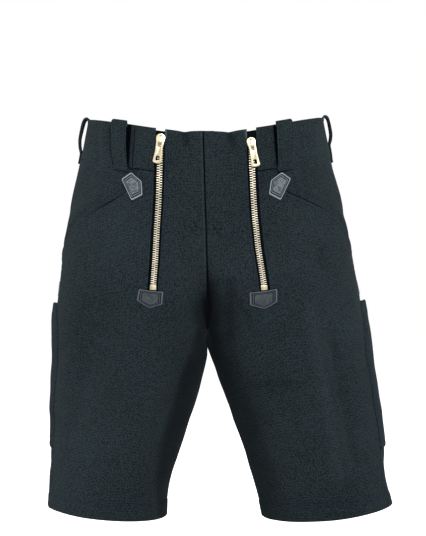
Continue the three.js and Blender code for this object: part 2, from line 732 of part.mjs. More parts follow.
// Pull tab, drawn hanging from its hinge at (0, 0): a bar, a window for the bridge, a
// waisted plate and a D-shaped hole near its foot.
const PULL = {
  top: 1.1, bar: 1.1, window: 7.6, windowHalf: 2.4, neck: 4.9, foot: 6.3, end: -30.5, thick: 1.8,
};
function zipPull() {
  const shape = new THREE.Shape();
  shape.moveTo(-PULL.neck + 0.8, PULL.top);
  shape.lineTo(PULL.neck - 0.8, PULL.top);
  shape.quadraticCurveTo(PULL.neck, PULL.top, PULL.neck, PULL.top - 1);
  shape.bezierCurveTo(PULL.neck - 0.6, -10, PULL.neck - 0.4, -14, PULL.foot, PULL.end + 3);
  shape.quadraticCurveTo(PULL.foot, PULL.end + 0.6, 0, PULL.end);
  shape.quadraticCurveTo(-PULL.foot, PULL.end + 0.6, -PULL.foot, PULL.end + 3);
  shape.bezierCurveTo(-PULL.neck + 0.4, -14, -PULL.neck + 0.6, -10, -PULL.neck, PULL.top - 1);
  shape.quadraticCurveTo(-PULL.neck, PULL.top, -PULL.neck + 0.8, PULL.top);
  const window = new THREE.Path();
  window.moveTo(-PULL.windowHalf, -PULL.bar);
  window.lineTo(-PULL.windowHalf, -PULL.window + 2);
  window.quadraticCurveTo(-PULL.windowHalf, -PULL.window, 0, -PULL.window);
  window.quadraticCurveTo(PULL.windowHalf, -PULL.window, PULL.windowHalf, -PULL.window + 2);
  window.lineTo(PULL.windowHalf, -PULL.bar);
  window.closePath();
  const eye = new THREE.Path();
  eye.moveTo(-2.9, -26.6);
  eye.lineTo(2.9, -26.6);
  eye.lineTo(2.9, -23);
  eye.absarc(0, -22.6, 2.9, 0, Math.PI, false);
  eye.closePath();
  shape.holes.push(window, eye);
  const made = geometryOf(solidOf(plate(shape, PULL.thick)));
  return made.translate(0, 0, -PULL.thick / 2);
}

const material = (color, roughness, metalness) =>
  new THREE.MeshStandardMaterial({ color, roughness, metalness });
const moleskin = () => material(0x2a3235, 0.95, 0);
const leather = () => material(0x646c6f, 0.6, 0);
const brass = () => material(0xc9bd96, 0.32, 1);
const tape = () => material(0x121417, 0.9, 0);

const shorts = new THREE.Group();
shorts.name = "moleskin_shorts";
function add(name, geometry, look, parent = shorts) {
  const mesh = new THREE.Mesh(geometry, look);
  mesh.name = name;
  parent.add(mesh);
  return mesh;
}

// The frame of a slider: on the zip line, leaning outward by a few degrees.
function sliderFrame(leg) {
  const depth = SLIDER_DEPTH[leg];
  const round = zipLine(leg, 0)(depth);
  const out = outward(leg, round, depth);
  const up = cloth(leg, round, depth - 5).sub(cloth(leg, round, depth + 5));
  up.addScaledVector(out, -up.dot(out)).normalize();
  const across = new THREE.Vector3().crossVectors(up, out);
  const group = new THREE.Group();
  group.position.copy(cloth(leg, round, depth));
  group.quaternion.setFromRotationMatrix(new THREE.Matrix4().makeBasis(across, up, out));
  group.rotateZ(degToRad(SLIDER_TURN * leg));
  return group;
}

add("belt_loop_back", beltLoop(RIGHT, LOOP_PLACES.back), moleskin());
for (const [leg, name] of SIDES) {
  add(`front_panel_${name}`, frontPanel(leg), moleskin());
  add(`back_panel_${name}`, backPanel(leg), moleskin());
  add(`waistband_${name}`, waistband(leg), moleskin());
  add(`waistband_end_${name}`, bandEnd(leg), moleskin());
  add(`pocket_facing_${name}`, pocketFacing(leg), moleskin());
  add(`ruler_pocket_${name}`, rulerPocket(leg), moleskin());
  add(`belt_loop_front_${name}`, beltLoop(leg, LOOP_PLACES[`front_${name}`]), moleskin());
  add(`belt_loop_side_${name}`, beltLoop(leg, LOOP_PLACES[`side_${name}`]), moleskin());
  add(`zip_tape_${name}`, zipTape(leg), tape());
  add(`zip_teeth_${name}`, zipTeeth(leg), brass());
  add(`pocket_patch_${name}`, patch(leg, POCKET_PATCH[leg], SEAM), leather());
  add(`zip_end_patch_${name}`, patch(leg, ZIP_PATCH[leg], SEAM), leather());
  add(`side_patch_${name}`, sidePatch(leg), leather());
  const frame = sliderFrame(leg);
  shorts.add(frame);
  add(`zip_slider_${name}`, zipSlider(), brass(), frame);
  const pull = add(`zip_pull_${name}`, zipPull(), brass(), frame);
  pull.position.set(0, HINGE.y, HINGE.z);
  pull.rotation.x = degToRad(PULL_REST);
}

export default shorts;
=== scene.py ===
# %% [markdown]
# # Moleskin shorts with a two-zip fall front
# This lesson dresses a plain CAD model of a pair of work shorts. The cloth is moleskin, thick and matt,
# and the shorts stand filled out with nobody in them. Everything is in metres in the CAD's own frame:
# +Z is up, the front faces -Y, and the origin is the middle of the waist opening.
# %% Load the frame
import math

import bpy
import numpy as np
from mathutils import Matrix, Vector


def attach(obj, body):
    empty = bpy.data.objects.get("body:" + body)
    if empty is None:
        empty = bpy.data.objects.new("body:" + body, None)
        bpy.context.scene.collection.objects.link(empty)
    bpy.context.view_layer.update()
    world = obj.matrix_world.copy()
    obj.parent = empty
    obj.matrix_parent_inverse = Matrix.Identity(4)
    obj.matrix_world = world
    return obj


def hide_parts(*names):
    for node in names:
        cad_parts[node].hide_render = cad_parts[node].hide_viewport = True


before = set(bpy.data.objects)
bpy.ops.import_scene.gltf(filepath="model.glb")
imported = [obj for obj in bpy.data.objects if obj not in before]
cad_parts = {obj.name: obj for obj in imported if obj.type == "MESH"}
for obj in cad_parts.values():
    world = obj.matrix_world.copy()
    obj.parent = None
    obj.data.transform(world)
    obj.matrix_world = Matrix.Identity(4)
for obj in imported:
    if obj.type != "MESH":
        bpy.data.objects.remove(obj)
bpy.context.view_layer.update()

MM = 0.001
RIGHT, LEFT = -1, 1  # the wearer's own sides
SIDES = {RIGHT: "right", LEFT: "left"}
bpy.ops.object.select_all(action="DESELECT")

# %% [markdown]
# ## Camera, light and floor
# The photograph was taken straight from the front, level with the middle of the garment, from far
# enough away that the hems look only a little curved. A broad soft light stands high in front, and one
# on each side catches the hips and outer thighs, so the inner legs stay darkest; a fourth is behind.
# The world is white where the camera or the brass sees it, and lights the cloth only weakly.
# %% Camera
view = bpy.data.cameras.new("camera")
view.sensor_fit = "VERTICAL"
view.sensor_height = 36
view.lens = 111.4
CAMERA_FAR, CAMERA_ASIDE, CAMERA_HIGH = 2.4, 0.010, -0.217
camera = bpy.data.objects.new("camera", view)
camera.location = (CAMERA_ASIDE, -CAMERA_FAR, CAMERA_HIGH)
camera.rotation_euler = (math.radians(90), 0, 0)
bpy.context.collection.objects.link(camera)
bpy.context.scene.camera = camera

# %% Studio
bpy.context.scene.view_settings.view_transform = "Standard"
world = bpy.data.worlds.new("studio")
bpy.context.scene.world = world
world.use_nodes = True
sky = world.node_tree.nodes["Background"]
sky.inputs["Color"].default_value = (1, 1, 1, 1)
ray = world.node_tree.nodes.new("ShaderNodeLightPath")
dim = world.node_tree.nodes.new("ShaderNodeMapRange")
WHITE_SEEN, WHITE_FELT = 1.0, 0.13  # for the camera and the brass, and as light on the cloth
dim.inputs["To Min"].default_value = WHITE_SEEN
dim.inputs["To Max"].default_value = WHITE_FELT
world.node_tree.links.new(ray.outputs["Is Diffuse Ray"], dim.inputs["Value"])
world.node_tree.links.new(dim.outputs["Result"], sky.inputs["Strength"])


def soft_light(name, place, size, power, aim=(0, 0, -0.28)):
    lamp = bpy.data.lights.new(name, "AREA")
    lamp.shape = "RECTANGLE"
    lamp.size, lamp.size_y = size
    lamp.energy = power
    made = bpy.data.objects.new(name, lamp)
    made.location = place
    made.rotation_euler = (Vector(aim) - Vector(place)).to_track_quat("-Z", "Y").to_euler()
    bpy.context.collection.objects.link(made)


soft_light("light_right", (-2.1, -0.2, 0.5), (0.8, 1.5), 23)
soft_light("light_left", (2.0, 0.15, 0.5), (0.9, 1.5), 12)
soft_light("light_front", (0.5, -2.2, 1.3), (1.0, 0.9), 49)
soft_light("light_back", (-0.6, 2.6, 1.2), (1.6, 1.2), 45)

# %% [markdown]
# ## Materials from nodes
# Shader sums read like ordinary sums here. `Value` wraps one socket, and +, - and * add the Math
# nodes. `node` adds any other node: its settings come first and its inputs after them.
# %% A small shader language
class Value:
    """One output of a material, which can be reckoned with."""

    def __init__(self, cloth, socket):
        self.cloth, self.socket = cloth, socket

    def _math(self, operation, first, second):
        return self.cloth.node("ShaderNodeMath", {"operation": operation}, {0: first, 1: second})

    def __add__(self, other):
        return self._math("ADD", self, other)

    def __radd__(self, other):
        return self._math("ADD", other, self)

    def __rsub__(self, other):
        return self._math("SUBTRACT", other, self)

    def __mul__(self, other):
        return self._math("MULTIPLY", self, other)


class Finish:
    """A material with one Principled shader, and short ways to add what feeds it."""

    def __init__(self, name, **constants):
        self.material = bpy.data.materials.new(name)
        self.material.use_nodes = True
        self.tree = self.material.node_tree
        self.shader = self.tree.nodes["Principled BSDF"]
        for key, value in constants.items():
            self.shader.inputs[key.replace("_", " ")].default_value = value

    def node(self, kind, settings=None, inputs=None, output=0):
        made = self.tree.nodes.new(kind)
        for key, value in (settings or {}).items():
            setattr(made, key, value)
        for key, value in (inputs or {}).items():
            if isinstance(value, Value):
                self.tree.links.new(value.socket, made.inputs[key])
            else:
                made.inputs[key].default_value = value
        return Value(self, made.outputs[output])

    def place(self):
        return self.node("ShaderNodeTexCoord", output="Object")

    def along_cloth(self):
        return self.node("ShaderNodeUVMap", {"uv_map": "cut"})

    def noise(self, where, scale, detail=2, roughness=0.5):
        return self.node("ShaderNodeTexNoise", {},
                         {"Vector": where, "Scale": scale, "Detail": detail, "Roughness": roughness})

    def blend(self, amount, first, second):
        """The first colour where the amount is 0, the second where it is 1."""
        return self.node("ShaderNodeMix", {"data_type": "RGBA", "clamp_factor": True},
                         {0: amount, 6: first, 7: second}, output=2)

    def reach(self, value, low, high):
        """0 below low, 1 above high."""
        return self.node("ShaderNodeMapRange", {"interpolation_type": "SMOOTHSTEP"},
                         {0: value, 1: low, 2: high, 3: 0.0, 4: 1.0})

    def feed(self, key, value):
        self.tree.links.new(value.socket, self.shader.inputs[key])

    def bump(self, height, depth):
        """Height of 0 to 1 times a depth in metres."""
        self.feed("Normal", self.node("ShaderNodeBump", {}, {"Height": height, "Distance": depth,
                                                             "Strength": 1.0}))


def colour(red, green, blue):
    """A colour of 0 to 255, as on a screen, as the linear colour that a shader wants."""
    return tuple((v / 255 / 12.92) if v < 11 else ((v / 255 + 0.055) / 1.055) ** 2.4
                 for v in (red, green, blue)) + (1.0,)


# %% [markdown]
# ## Moleskin
# Moleskin is a dense cotton satin whose face is sheared to a short nap. It reflects almost nothing
# straight back, but its nap lights up at the edges of round forms, which sheen gives. Its colour is a
# slate that is a little uneven. The meshes carry an attribute of wear and painted light: above zero
# where an edge or a fold stands up, worn paler and given a painted highlight; below zero, painted
# shadow in seams and under edges and loops, and painted shade in fold troughs and inside the legs.
# %% Moleskin
def moleskin(dark, light, worn_and_lit, seam):
    made = Finish("moleskin", Roughness=0.95, Sheen_Weight=0.05, Sheen_Roughness=0.5,
                  Sheen_Tint=(0.62, 0.72, 0.78, 1), Specular_IOR_Level=0.0)
    where, cut = made.place(), made.along_cloth()
    broad = made.noise(where, 7, 2, 0.5)
    nap = made.noise(where, 1000, 2, 0.6)
    fleck = made.noise(where, 1600, 1, 0.5)
    warp, weft = (made.node("ShaderNodeTexWave", {"wave_type": "BANDS", "bands_direction": way},
                            {"Vector": cut, "Scale": 150.0, "Distortion": 3.0, "Detail": 2.0,
                             "Detail Scale": 3.0}) for way in ("X", "Y"))
    shade = made.reach(broad * 0.06 + nap * 0.44 + fleck * 0.40 + warp * 0.04 + weft * 0.06, 0.41, 0.595)
    base = made.blend(shade, colour(*dark), colour(*light))
    rub = made.node("ShaderNodeAttribute", {"attribute_name": "rub"}, output="Fac")
    # Above zero the attribute blends toward the pale colour, for wear and painted highlight; below zero
    # toward the dark colour, for painted shade and shadow.
    wear_and_highlight = made.reach(rub * (fleck * 0.8 + 0.5), 0.12, 1.15)
    base = made.blend(wear_and_highlight, base, colour(*worn_and_lit))
    made.feed("Base Color", made.blend(made.reach(0.0 - rub, 0.08, 0.9), base, colour(*seam)))
    made.bump(fleck * 0.4 + nap * 0.4 + warp * 0.1 + weft * 0.1, 0.0003)
    return made.material


# The dark seam colour is used for painted shade and shadow, the pale one for wear and painted highlight.
MOLESKIN = moleskin(dark=(5, 8, 10), light=(55, 66, 70), worn_and_lit=(76, 88, 93), seam=(5, 7, 10))
print("moleskin nodes:", len(MOLESKIN.node_tree.nodes))

# %% [markdown]
# ## Leather, brass, tape and thread
# The patches are grey leather with a fine grain, worn pale at the rims, and the ones at the zips'
# ends are darker. The zips are pale brass, not quite mirror bright, on black woven tape; the teeth
# have a whiter copy of the brass, a painted highlight. The thread is navy, so the rows read as fine
# dark dots on the slate cloth.
# %% Leather
def leather(name, dark, light, worn_and_lit):
    made = Finish(name, Specular_IOR_Level=0.2)
    where = made.place()
    grain = made.node("ShaderNodeTexVoronoi", {"feature": "DISTANCE_TO_EDGE"},
                      {"Vector": where, "Scale": 900.0})
    crease = made.reach(grain, 0.0, 0.25)
    cloud = made.noise(where, 230, 3, 0.65)
    base = made.blend(made.reach(cloud, 0.4, 0.6), colour(*dark), colour(*light))
    rub = made.node("ShaderNodeAttribute", {"attribute_name": "rub"}, output="Fac")
    base = made.blend(made.reach(rub * (0.7 + cloud * 0.6), 0.1, 1.0), base, colour(*worn_and_lit))
    groove = made.node("ShaderNodeAttribute", {"attribute_name": "groove"}, output="Fac")
    made.feed("Base Color", made.blend(made.reach(groove, 0.1, 0.9), base, colour(12, 15, 20)))
    made.feed("Roughness", 0.62 - crease * 0.14)
    made.bump(crease * 0.6 + cloud * 0.4, 0.00018)
    return made.material


PALE_LEATHER = leather("pale_leather", (52, 60, 64), (104, 113, 117), (144, 154, 159))
DARK_LEATHER = leather("dark_leather", (41, 48, 52), (62, 70, 74), (92, 101, 106))

# %% Brass, tape and thread
def brass(name, bright, dull):
    made = Finish(name, Metallic=1.0)
    where = made.place()
    cloud = made.noise(where, 220, 3, 0.6)
    fine = made.noise(where, 1500, 2, 0.6)
    made.feed("Base Color", made.blend(made.reach(cloud, 0.35, 0.7),
                                       colour(*bright), colour(*dull)))
    made.feed("Roughness", 0.26 + cloud * 0.18)
    made.bump(fine, 0.00004)
    return made.material


def woven_tape():
    made = Finish("zip_tape", Roughness=0.95, Specular_IOR_Level=0.0)
    rib = made.node("ShaderNodeTexWave", {"wave_type": "BANDS", "bands_direction": "Y"},
                    {"Vector": made.along_cloth(), "Scale": 420.0, "Distortion": 0.4})
    made.feed("Base Color", made.blend(rib, colour(9, 11, 13), colour(23, 27, 31)))
    made.bump(rib, 0.0003)
    return made.material


def thread():
    made = Finish("thread", Roughness=0.9, Specular_IOR_Level=0.0)
    twist = made.noise(made.place(), 1200, 1, 0.5)
    made.feed("Base Color", made.blend(twist, colour(16, 21, 52), colour(40, 50, 100)))
    return made.material


BRASS = brass("pale_brass", (219, 210, 181), (189, 176, 141))
# The teeth's whiter brass is a painted highlight.
TOOTH_BRASS_PAINTED_HIGHLIGHT = brass("tooth_brass_painted_highlight", (238, 230, 210), (214, 204, 180))
TAPE, THREAD = woven_tape(), thread()

# %% Floor
bpy.ops.mesh.primitive_plane_add(size=16, location=(0, 0, -0.72))
floor = bpy.context.object
floor.name = "floor"
pale = Finish("pale_floor", Base_Color=(0.85, 0.85, 0.85, 1), Roughness=0.9, Specular_IOR_Level=0.0,
              Emission_Strength=1.0)
# Behind the shorts the floor glows, so that it melts into the white backdrop; all round it is paler
# than its light would make it.
behind = pale.node("ShaderNodeSeparateXYZ", {}, {0: pale.place()}, output=1)
away = pale.node("ShaderNodeVectorMath", {"operation": "LENGTH"}, {0: pale.place()}, output=1)
glow = pale.blend(pale.reach(away, 0.5, 2.5), (0, 0, 0, 1), (0.45, 0.45, 0.45, 1))
pale.feed("Emission Color", pale.blend(pale.reach(behind, 0.35, 0.75), glow, (1, 1, 1, 1)))
floor.data.materials.append(pale.material)

# %% [markdown]
# ## The form of the cloth
# Every piece of cloth lies on one form, worked out as the CAD does. A seam or a crown is a table that
# gives its place by `at`, the depth below the waist. At each depth a quarter of the garment is two
# cubic curves: from the side seam over the crown, and on to the centre seam or the inseam. There
# `turn` is the angle at which the curve comes in, and `rise` is how far its handle climbs.
# %% Tables that a smooth curve runs through
def table(columns, rows):
    values = np.array(rows, float)
    return {name: values[:, k] for k, name in enumerate(columns.split())}


def follow(guide, column, at):
    """The value of a column at some depths, on a smooth curve through the rows."""
    at = np.asarray(at, float)
    x, y = guide["at"], guide[column]
    slope = np.empty_like(y)
    slope[1:-1] = (y[2:] - y[:-2]) / (x[2:] - x[:-2])
    slope[0] = (y[1] - y[0]) / (x[1] - x[0])
    slope[-1] = (y[-1] - y[-2]) / (x[-1] - x[-2])
    i = np.clip(np.searchsorted(x, at, side="right") - 1, 0, len(x) - 2)
    span = x[i + 1] - x[i]
    t = (at - x[i]) / span
    curve = ((2 * t**3 - 3 * t**2 + 1) * y[i] + (t**3 - 2 * t**2 + t) * span * slope[i]
             + (3 * t**2 - 2 * t**3) * y[i + 1] + (t**3 - t**2) * span * slope[i + 1])
    curve = np.where(t < 0, y[i] + slope[i] * (at - x[i]), curve)
    return np.where(t > 1, y[i + 1] + slope[i + 1] * (at - x[i + 1]), curve)


def soft(value, low, high):
    """0 below low, 1 above high, and smooth between."""
    t = np.clip((np.asarray(value, float) - low) / (high - low), 0, 1)
    return t * t * (3 - 2 * t)


# %% Seams and crowns, in millimetres
FORK, BAND, HEM = 305, 61, 560
CENTRE = {
    "front": table("at x y z turn rise", [
        (0, -4, -105, -27, 0, 0), (68, -2, -114, -94, 0, 0), (136, 0, -119, -160, 0, 0),
        (205, 1.5, -115, -218, 8, 0), (263, 2, -98, -264, 35, 0), (FORK, 2, -52, -303, 80, 10)]),
    "back": table("at x y z turn rise", [
        (0, 0, 104, -14, 0, 0), (68, 0, 115, -80, 0, 0), (136, 0, 134, -182, 4, 0),
        (205, 1, 110, -284, 30, 0), (240, 2, 66, -320, 60, 0), (263, 2, 22, -330, 80, -8),
        (FORK, 2, -52, -303, 100, -60)]),
}
SIDE_SEAM = {
    RIGHT: table("at x y z", [
        (0, -170, 0, -4), (68, -182.5, 0, -68), (136, -198, 2, -136), (205, -208, 4, -205),
        (263, -213.5, 4, -263), (305, -215, 3, -305), (345, -216, 2, -345), (396, -220, 0, -396),
        (466, -224, 0, -466), (520, -225.5, 0, -520), (560, -229, 0, -558.5)]),
    LEFT: table("at x y z", [
        (0, 169.5, 0, -0.5), (68, 181.5, 0, -66), (136, 199, 2, -136), (205, 212.5, 3, -205),
        (263, 221.5, 3, -260), (305, 228.5, 2, -302), (345, 234.5, 0, -343), (396, 244, -1, -396),
        (466, 256, -2, -466), (520, 259.5, -2, -520), (560, 268.5, -2, -555.5)]),
}
CROWN = {
    (RIGHT, "front"): table("at x y z", [
        (0, -52, -103, -25), (68, -62, -112, -92), (136, -74, -119, -158), (205, -90, -121, -222),
        (263, -102, -119, -274), (305, -108, -115, -313), (345, -112, -110, -352),
        (396, -116, -104, -402), (466, -128, -97, -473), (520, -138, -91, -528),
        (560, -143, -88, -569)]),
    (RIGHT, "back"): table("at x y z", [
        (0, -55, 103, -11), (68, -62, 114, -77), (136, -78, 131, -162), (205, -96, 125, -250),
        (263, -106, 116, -308), (305, -110, 110, -345), (345, -112, 106, -380),
        (396, -116, 102, -420), (466, -128, 97, -478), (520, -138, 91, -526), (560, -143, 88, -563)]),
    (LEFT, "front"): table("at x y z", [
        (0, 52, -103, -25), (68, 62, -112, -92), (136, 75, -119, -158), (205, 95, -121, -222),
        (263, 110, -120, -274), (305, 119, -116, -313), (345, 126, -111, -352),
        (396, 140, -105, -402), (466, 158, -98, -473), (520, 170, -92, -528), (560, 178, -90, -569)]),
    (LEFT, "back"): table("at x y z", [
        (0, 55, 103, -11), (68, 62, 114, -77), (136, 79, 131, -162), (205, 100, 125, -250),
        (263, 114, 116, -308), (305, 122, 110, -345), (345, 130, 106, -380),
        (396, 142, 102, -420), (466, 160, 97, -478), (520, 172, 91, -526), (560, 180, 90, -563)]),
}
INSEAM = {
    RIGHT: table("at x y z turn", [
        (FORK, 2, -52, -303, 80), (345, -8, -45, -338, 70), (396, -23, -42, -394, 66),
        (466, -44, -38, -468, 66), (520, -56, -24, -526, 76), (560, -57.5, -12, -574, 83)]),
    LEFT: table("at x y z turn", [
        (FORK, 2, -52, -303, 80), (345, 11, -25, -340, 80), (396, 26, -2, -396, 88),
        (466, 51, 0, -468, 90), (520, 70, 0, -528, 90), (560, 82, 0, -575, 90)]),
}
INSEAM_RISE = table("at front back", [
    (FORK, 10, -60), (345, 12, -35), (396, 7, -18), (466, 2, -5), (HEM, 0, 0)])
SLIT_END = 236
# The side seam keeps to the widest line of the hips and comes forward on the thighs.
SIDE_ROUND = table("at round", [
    (0, 1), (SLIT_END, 1), (FORK, 0.9), (396, 0.87), (466, 0.87), (HEM, 0.88)])

# %% One section of a quarter
ARC = 0.5523  # handle share that makes a cubic curve a quarter of an ellipse
SEAM = 0.4  # room between neighbouring pieces


def spot(guide, at):
    return np.array([float(follow(guide, axis, at)) for axis in "xyz"])


def bezier(a, b, c, d, steps=160):
    t = np.linspace(0, 1, steps + 1)[:, None]
    return (1 - t)**3 * a + 3 * (1 - t)**2 * t * b + 3 * (1 - t) * t**2 * c + t**3 * d


def inner_seam(leg, half, at):
    if at <= FORK:
        guide = CENTRE[half]
        return spot(guide, at), float(follow(guide, "turn", at)), float(follow(guide, "rise", at))
    turn = float(follow(INSEAM[leg], "turn", at))
    rise = float(follow(INSEAM_RISE, half, at))
    return spot(INSEAM[leg], at), turn if half == "front" else 180 - turn, rise


def section(leg, half, at, shares):
    """Points at shares of the way from the side seam to the inner seam, and its length."""
    forward = -1 if half == "front" else 1
    side, crown = spot(SIDE_SEAM[leg], at), spot(CROWN[leg, half], at)
    inner, turn, rise = inner_seam(leg, half, at)
    turn = math.radians(turn)
    tilt = (inner[2] - side[2]) / (inner[0] - side[0])
    level = np.array([1, 0, tilt])
    reach = ARC * (abs(inner[0] - crown[0]) * abs(math.cos(turn))
                   + abs(inner[1] - crown[1]) * math.sin(turn))
    handle = np.array([reach * math.cos(turn) * leg, reach * math.sin(turn) * forward, rise])
    outer_arc = bezier(side, side + [0, ARC * (crown[1] - side[1]), 0],
                       crown + ARC * (side[0] - crown[0]) * level, crown)
    inner_arc = bezier(crown, crown + ARC * (inner[0] - crown[0]) * level, inner + handle, inner)
    line = np.vstack([outer_arc, inner_arc[1:]])
    run = np.concatenate([[0], np.cumsum(np.linalg.norm(np.diff(line, axis=0), axis=1))])
    points = np.column_stack([np.interp(shares * run[-1], run, line[:, k]) for k in range(3)])
    return points, run[-1]


# %% [markdown]
# ## Folds
# The cloth is thick, so its folds are broad and soft. Each is a row: the line that it runs along, its
# width and its height, below zero for a trough. A fold is placed on the front or the back by x and z,
# and on the sides by y and z, and no two are alike. A slow waviness of a few tenths of a millimetre
# keeps the rest from looking moulded.
# %% Fold tables
FOLDS = {
    "front": table("x0 z0 x1 z1 width height", [
        (20, -252, 19, -300, 8, 2), (34, -238, 31, -312, 8, -3), (62, -382, 132, -378, 9, -2.5),
        (60, -424, 82, -430, 8, -2), (140, -275, 184, -506, 17, 7), (174, -315, 208, -486, 13, -4.5),
        (-9, -236, -6, -318, 11, -3), (13, -240, 9, -316, 9, -2.5), (98, -318, 134, -480, 24, -3),
        (-30, -352, -74, -520, 12, -2), (30, -372, 66, -447, 12, -1.5), (66, -447, 90, -528, 12, -1.5),
        (150, -148, 162, -206, 14, -2.5), (162, -206, 186, -266, 15, -2.5),
        (-140, -128, -152, -190, 14, -2.5), (-92, -310, -140, -500, 26, 4),
        (-160, -300, -190, -440, 17, -3.5), (-30, -30, -28, -44, 6, -6.5), (33, -30, 37, -44, 6, -6.5),
        (-142, -26, -140, -74, 7, 2.4), (-152, -20, -152, -66, 6, -2), (-128, -26, -126, -80, 6, -2),
        (150, -24, 154, -72, 7, 2.4), (134, -26, 134, -78, 7, -2.2),
        (46, -262, 74, -330, 6, -1.4), (-16, -286, -60, -340, 7, -1.3), (-24, -330, -58, -392, 8, 1.4),
        (44, -330, 60, -372, 7, 1.3), (-120, -112, -138, -136, 5, -1.1), (86, -272, 108, -300, 6, -1.0),
        (-84, -276, -96, -316, 7, 1.0), (-190, -330, -204, -392, 7, 1.2), (208, -352, 222, -420, 8, 1.3),
        (100, -432, 128, -470, 9, 1.2), (-70, -470, -96, -520, 9, -1.2), (96, -500, 150, -512, 9, -1.0)]),
    "back": table("x0 z0 x1 z1 width height", [
        (-16, -250, -120, -196, 17, -3.5), (18, -262, 128, -214, 16, -3.5),
        (-28, -300, -150, -262, 16, 3), (30, -306, 146, -276, 15, 3), (-60, -352, -150, -330, 14, -3.5),
        (66, -366, 168, -336, 15, -3), (-120, -390, -150, -520, 22, 2.5), (150, -400, 184, -524, 22, 2.5),
        (-22, -282, -90, -240, 6, -1.4), (24, -290, 84, -252, 6, -1.3), (-40, -330, -112, -304, 6, 1.3),
        (44, -344, 120, -316, 6, 1.4), (-36, -96, -50, -150, 8, -1.0), (42, -100, 50, -146, 8, -1.0)]),
    "side": table("x0 z0 x1 z1 width height", [
        (-60, -112, 20, -150, 10, -1.2), (10, -196, 70, -236, 11, -1.3), (-70, -330, -20, -420, 12, 1.4),
        (10, -452, 60, -492, 11, -1.2), (-40, -484, 20, -510, 9, -1.0)]),
}


def fold_height(across, z, folds):
    height = np.zeros_like(z)
    for k in range(len(folds["x0"])):
        x0, z0, x1, z1, width, depth = (folds[c][k] for c in ("x0", "z0", "x1", "z1", "width", "height"))
        dx, dz = x1 - x0, z1 - z0
        near = np.clip(((across - x0) * dx + (z - z0) * dz) / (dx * dx + dz * dz), 0, 1)
        off = np.hypot(across - x0 - near * dx, z - z0 - near * dz)
        height += depth * np.exp(-(off / width)**2)
    return height


WAVES = table("x y z start height", [
    (0.071, 0.013, 0.052, 0.4, 0.34), (-0.048, 0.061, 0.083, 1.9, 0.30), (0.103, -0.044, 0.031, 3.1, 0.22),
    (0.022, 0.088, -0.096, 0.9, 0.24), (0.151, 0.060, 0.122, 5.2, 0.12), (-0.133, 0.104, 0.148, 2.2, 0.12)])


def waviness(points):
    height = 0
    for k in range(len(WAVES["x"])):
        turn = sum(WAVES[axis][k] * points[..., n] for n, axis in enumerate("xyz"))
        height = height + WAVES["height"][k] * np.sin(turn + WAVES["start"][k])
    return height


# %% [markdown]
# ## A chart of the garment
# `round` runs from 0 at the centre front over 1 at the side seam to 2 at the centre back. The form is
# worked out once on a fine chart of round and depth, with its outward directions and folds, and every
# piece is then read off the chart, so pieces that lie on each other follow the same folds.
# %% Work out the chart
ROUNDS = np.linspace(0, 2, 401)
DEPTHS = np.arange(-6, 567.1, 1.5)
# SHADE holds the painted shade and highlight that each piece adds to its colour.
CHART, OUTWARD, WIDTH, SHADE = {}, {}, {}, {}
MIDDLE = len(ROUNDS) // 2  # the chart's row at the side seam
VALLEY = 9  # depth and width of the valley between the legs, above the fork
# DARKEST limits how dark the painted shade gets.
DARKEST = 0.58


def middle_line(half, at):
    """Where the two halves of the garment meet, in x."""
    return follow(CENTRE[half], "x", np.minimum(at, FORK))


def keep_aside(points, leg, rounds, depths):
    """The two halves never cross the plane between them."""
    for half, rows in (("front", rounds <= 1), ("back", rounds > 1)):
        middle = middle_line(half, depths)
        points[rows, :, 0] = middle + leg * np.maximum(leg * (points[rows, :, 0] - middle), 0)
    return points


def painted_inner_shade(leg, widths):
    """Painted shade beside the centre seam and the inseam round the fork, where the inner legs turn away
    from the light.
    """
    rounds, at = ROUNDS[:, None], DEPTHS[None, :]
    from_seam = np.where(rounds <= 1, rounds * widths[0], (2 - rounds) * widths[1])
    share = np.where(rounds <= 1, 1.0, soft(at, FORK, FORK + 60))
    if leg == RIGHT:
        edge = 7 + 8 * soft(at, FORK - 25, FORK + 35)
        return -1.2 * share * soft(at, 228, 322) * (1 - soft(from_seam, edge - 4, edge + 34))
    fork = 0.2 * soft(at, 215, 300) * (1 - soft(at, 325, 400)) * (1 - soft(from_seam, 22, 58))
    return -share * (0.55 * soft(at, 165, 275) * np.exp(-(from_seam / 84)**2) + fork)


